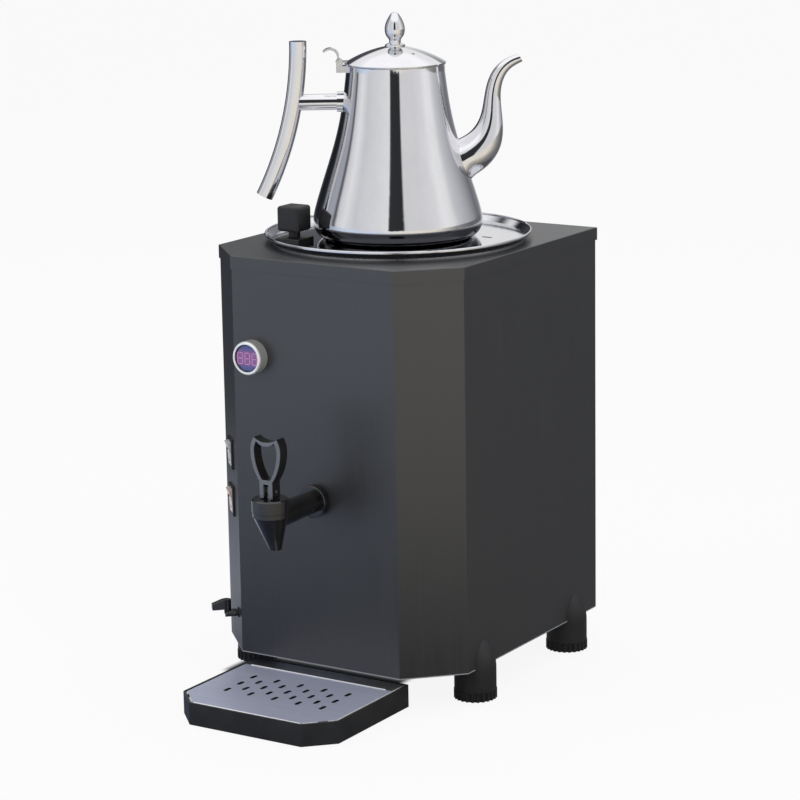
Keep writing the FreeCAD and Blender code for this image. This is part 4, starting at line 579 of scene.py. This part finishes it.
def tray_shade(tree, across, along):
    """1 on the painted shade behind the tray and 0 elsewhere."""
    in_width = math_node(tree, "MULTIPLY", ramp_between(tree, across, *SHADE_LEFT),
                         ramp_between(tree, across, *SHADE_RIGHT, 1, 0))
    in_depth = math_node(tree, "MULTIPLY", ramp_between(tree, along, *SHADE_FRONT),
                         ramp_between(tree, along, *SHADE_BACK, 1, 0))
    return math_node(tree, "MULTIPLY", in_width, in_depth)


def make_floor():
    """A white floor that keeps a little of the object's shadow and has painted shade behind the tray."""
    bpy.ops.object.select_all(action="DESELECT")
    bpy.ops.mesh.primitive_plane_add(size=FLOOR_SIZE, location=(0, 0, -FLOOR_DROP))
    floor = bpy.context.object
    floor.name = "floor"
    material = bpy.data.materials.new("floor_white")
    material.use_nodes = True
    tree = material.node_tree
    shader = tree.nodes["Principled BSDF"]
    shader.inputs["Base Color"].default_value = FLOOR_COLOUR
    shader.inputs["Roughness"].default_value = FLOOR_ROUGHNESS
    place = tree.nodes.new("ShaderNodeTexCoord")
    parts = tree.nodes.new("ShaderNodeSeparateXYZ")
    tree.links.new(place.outputs["Object"], parts.inputs[0])
    across, along = parts.outputs[0], parts.outputs[1]
    length = tree.nodes.new("ShaderNodeVectorMath")
    length.operation = "LENGTH"
    tree.links.new(place.outputs["Object"], length.inputs[0])
    away = ramp_between(tree, length.outputs["Value"], NEAR, FAR)
    ring = mix_colour(tree, away, ring_colour(tree, across, along, NEAR_FLOOR),
                      ring_colour(tree, across, along, FAR_FLOOR))
    # Painted shade: the floor's glow is taken down behind the tray
    plain = math_node(tree, "SUBTRACT", 1.0, tray_shade(tree, across, along))
    path = tree.nodes.new("ShaderNodeLightPath")
    gloss = path.outputs["Is Glossy Ray"]
    glow = tree.nodes.new("ShaderNodeEmission")
    tree.links.new(mix_colour(tree, gloss, WHITE, ring), glow.inputs["Color"])
    level = math_node(tree, "MAXIMUM", gloss, plain)
    tree.links.new(level, glow.inputs["Strength"])
    white = math_node(tree, "MULTIPLY", seen_straight(tree, path), 1 - FLOOR_KEEPS_SHADE)
    share = math_node(tree, "MAXIMUM", white, gloss)
    mix = tree.nodes.new("ShaderNodeMixShader")
    tree.links.new(share, mix.inputs["Fac"])
    tree.links.new(shader.outputs[0], mix.inputs[1])
    tree.links.new(glow.outputs[0], mix.inputs[2])
    tree.links.new(mix.outputs[0], tree.nodes["Material Output"].inputs["Surface"])
    floor.data.materials.append(material)


# Each lamp's name, place, size and power, and the place that all of them point at
LAMPS = (
    ("left_softbox", (-1.6, -1.5, 1.5), (1.2, 1.6), 14),
    ("right_softbox", (1.9, -0.6, 1.4), (1.2, 1.6), 10),
    ("top_softbox", (0, 0.3, 2.4), (1.6, 1.6), 12),
)
LAMP_AIM = Vector((0, 0, 0.35))


def lamp(name, place, size, power):
    """A soft lamp that lights the urn but isn't seen in gloss, where the studio ring is."""
    data = bpy.data.lights.new(name, "AREA")
    data.shape = "RECTANGLE"
    data.size, data.size_y = size
    data.energy = power
    item = bpy.data.objects.new(name, data)
    item.location = place
    item.rotation_euler = (LAMP_AIM - Vector(place)).to_track_quat("-Z", "Y").to_euler()
    item.visible_glossy = False
    bpy.context.scene.collection.objects.link(item)


def pick(test):
    """In edit mode, select the points that pass a test and nothing else."""
    bpy.ops.mesh.select_mode(type="VERT")
    data = bpy.context.object.data
    shape = bmesh.from_edit_mesh(data)
    for point in shape.verts:
        point.select_set(test(point.co))
    shape.select_flush_mode()
    bmesh.update_edit_mesh(data)


def settle(name, body, finish, smooth=30):
    """Name the active piece, set its place into its mesh, ride it on a body and give it a finish."""
    piece = bpy.context.object
    piece.name = piece.data.name = name
    bpy.ops.object.transform_apply(location=True, rotation=True, scale=True)
    bpy.ops.object.shade_smooth_by_angle(angle=math.radians(smooth))
    piece.data.materials.clear()
    piece.data.materials.append(finish)
    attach(piece, body)
    return piece


def copied(piece, place, turn=0.0):
    """A copy with its own mesh, turned round Y and set at a place."""
    copy = piece.copy()
    copy.data = piece.data.copy()
    copy.location = place
    copy.rotation_euler = (0, turn, 0)
    bpy.context.scene.collection.objects.link(copy)
    return copy


def join_all(pieces):
    """Join pieces into the first of them, which stays active."""
    bpy.ops.object.select_all(action="DESELECT")
    for piece in pieces:
        piece.select_set(True)
    bpy.context.view_layer.objects.active = pieces[0]
    if len(pieces) > 1:
        bpy.ops.object.join()


DISPLAY_FRONT = -0.1021
DIGIT_PITCH, DIGIT_WIDE, DIGIT_HIGH = 0.0079, 0.0052, 0.0104
STROKE = 0.00105
STROKE_RAISE = 0.00012
# Each bar ends this many strokes short of the next one's middle
BAR_SHORT = 0.6
DIGITS_DROP = 0.0005


def draw_bar(reach, thickness):
    """In edit mode, draw a flat disc out to both sides into a bar and give it a thickness."""
    for side in (1, -1):
        pick(lambda place: side * place.dot(reach) > 0)
        bpy.ops.transform.translate(value=tuple(side * reach))
    bpy.ops.mesh.select_all(action="SELECT")
    bpy.ops.mesh.extrude_region_move(TRANSFORM_OT_translate={"value": thickness})
    bpy.ops.mesh.select_all(action="SELECT")
    bpy.ops.mesh.normals_make_consistent(inside=False)


def make_digits(finish):
    """Three seven-bar digits that stand just proud of the display."""
    bpy.ops.object.select_all(action="DESELECT")
    bpy.ops.mesh.primitive_circle_add(vertices=6, radius=STROKE / 2, fill_type="NGON",
                                      rotation=(math.pi / 2, 0, 0))
    bpy.ops.object.transform_apply(rotation=True)
    bar = bpy.context.object
    bpy.ops.object.mode_set(mode="EDIT")
    draw_bar(Vector((DIGIT_WIDE / 2 - STROKE * BAR_SHORT, 0, 0)), (0, -STROKE_RAISE, 0))
    bpy.ops.object.mode_set(mode="OBJECT")
    bars = []
    for digit in (-1, 0, 1):
        middle = Vector((GAUGE_X + digit * DIGIT_PITCH, DISPLAY_FRONT, GAUGE_Z - DIGITS_DROP))
        for step in (-1, 0, 1):
            bars.append(copied(bar, middle + Vector((0, 0, step * DIGIT_HIGH / 2))))
        for side in (-1, 1):
            for step in (-1, 1):
                place = Vector((side * DIGIT_WIDE / 2, 0, step * DIGIT_HIGH / 4))
                bars.append(copied(bar, middle + place, math.pi / 2))
    bpy.data.objects.remove(bar)
    join_all(bars)
    settle("display_digits", "case", finish)


WINDOW_GAP, WINDOW_THICK = 0.0003, 0.0009
# The steps of the window's crown, from its edge inwards: width and rise
WINDOW_CROWN = ((0.0004, 0.00025), (0.003, 0.00015), (0.004, 0.00005))


def make_window(finish):
    """The display's window: a crowned disc with a rounded edge, clear of the digits."""
    low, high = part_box("thermometer_lens")
    radius = (high[0] - low[0]) / 2
    bpy.ops.object.select_all(action="DESELECT")
    bpy.ops.mesh.primitive_circle_add(vertices=96, radius=radius, fill_type="NGON",
                                      location=(GAUGE_X, DISPLAY_FRONT - WINDOW_GAP, GAUGE_Z),
                                      rotation=(math.pi / 2, 0, 0))
    bpy.ops.object.mode_set(mode="EDIT")
    bpy.ops.mesh.select_all(action="SELECT")
    bpy.ops.mesh.extrude_region_move(TRANSFORM_OT_translate={"value": (0, -WINDOW_THICK, 0)})
    for width, rise in WINDOW_CROWN:
        bpy.ops.mesh.inset(thickness=width, depth=0)
        bpy.ops.transform.translate(value=(0, -rise, 0))
    bpy.ops.mesh.select_all(action="SELECT")
    bpy.ops.mesh.normals_make_consistent(inside=False)
    bpy.ops.object.mode_set(mode="OBJECT")
    window = settle("display_window", "case", finish, 60)
    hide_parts("thermometer_lens")


RIDGE_LONG, RIDGE_WIDE, RIDGE_HIGH = 0.149, 0.0014, 0.0008
RIDGE_SUNK, RIDGE_ROUNDING = 0.0004, 0.00055


def make_ridge(finish):
    """The pressed ridge across the back of the grate, rounded along its top and at its ends."""
    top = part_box("drip_grate")[1][2]
    bpy.ops.object.select_all(action="DESELECT")
    bpy.ops.mesh.primitive_cube_add(size=1, location=(0, RIDGE_Y, top + (RIDGE_HIGH - RIDGE_SUNK) / 2),
                                    scale=(RIDGE_LONG, RIDGE_WIDE, RIDGE_HIGH + RIDGE_SUNK))
    bpy.ops.object.transform_apply(location=True, rotation=True, scale=True)
    bpy.ops.object.mode_set(mode="EDIT")
    pick(lambda place: place.z > top)
    bpy.ops.mesh.bevel(offset=RIDGE_ROUNDING, segments=4, affect="EDGES")
    bpy.ops.object.mode_set(mode="OBJECT")
    settle("grate_ridge", "drip_grate", finish)


ROCKER_MIDDLE = Vector((-0.1095, -0.07, 0))
CHAMFER_OUT = Vector((-1, -1, 0)).normalized()
# The upper rocker's two faces: middle height, reach from the chamfer and lean, upper face first
ROCKER_FACES = ((0.2197, 0.00368, math.radians(15.4)), (0.2088, 0.00195, math.radians(2.6)))
LOWER_ROCKER_DROP = 0.045
INK_RING, INK_HALF, INK_BAR_HALF, INK_RAISE = 0.0021, 0.0004, 0.0019, 0.0002


def on_rocker(height, reach, lean):
    """The place on a rocker's face, with Z out of the face and Y up along it."""
    lie = Matrix.Rotation(math.radians(-45), 4, "Z") @ Matrix.Rotation(math.radians(90) - lean, 4, "X")
    return Matrix.Translation(ROCKER_MIDDLE + CHAMFER_OUT * reach + Vector((0, 0, height))) @ lie


def make_rocker_marks(finish):
    """The ring on the upper face and the bar on the lower face of each rocker, in dark ink."""
    for switch, drop in (("upper", 0.0), ("lower", LOWER_ROCKER_DROP)):
        bpy.ops.object.select_all(action="DESELECT")
        height, reach, lean = ROCKER_FACES[0]
        bpy.ops.mesh.primitive_torus_add(major_radius=INK_RING, minor_radius=INK_HALF,
                                         major_segments=40, minor_segments=8)
        ring = bpy.context.object
        ring.matrix_world = on_rocker(height - drop, reach, lean)
        height, reach, lean = ROCKER_FACES[1]
        bpy.ops.mesh.primitive_circle_add(vertices=24, radius=INK_HALF, fill_type="NGON")
        bpy.ops.object.mode_set(mode="EDIT")
        draw_bar(Vector((0, INK_BAR_HALF, 0)), (0, 0, INK_RAISE))
        bpy.ops.object.mode_set(mode="OBJECT")
        bar = bpy.context.object
        bar.matrix_world = on_rocker(height - drop, reach, lean)
        join_all([ring, bar])
        settle(switch + "_rocker_marks", switch + "_rocker", finish)


bpy.context.scene.view_settings.view_transform = "Standard"
set_camera()
set_world()
make_floor()
for lamp_facts in LAMPS:
    lamp(*lamp_facts)
finishes = make_finishes()
dress_nodes(finishes)
make_digits(finishes["digits"])
make_window(finishes["lens"])
make_rocker_marks(finishes["switch"])
make_ridge(finishes["polished"])
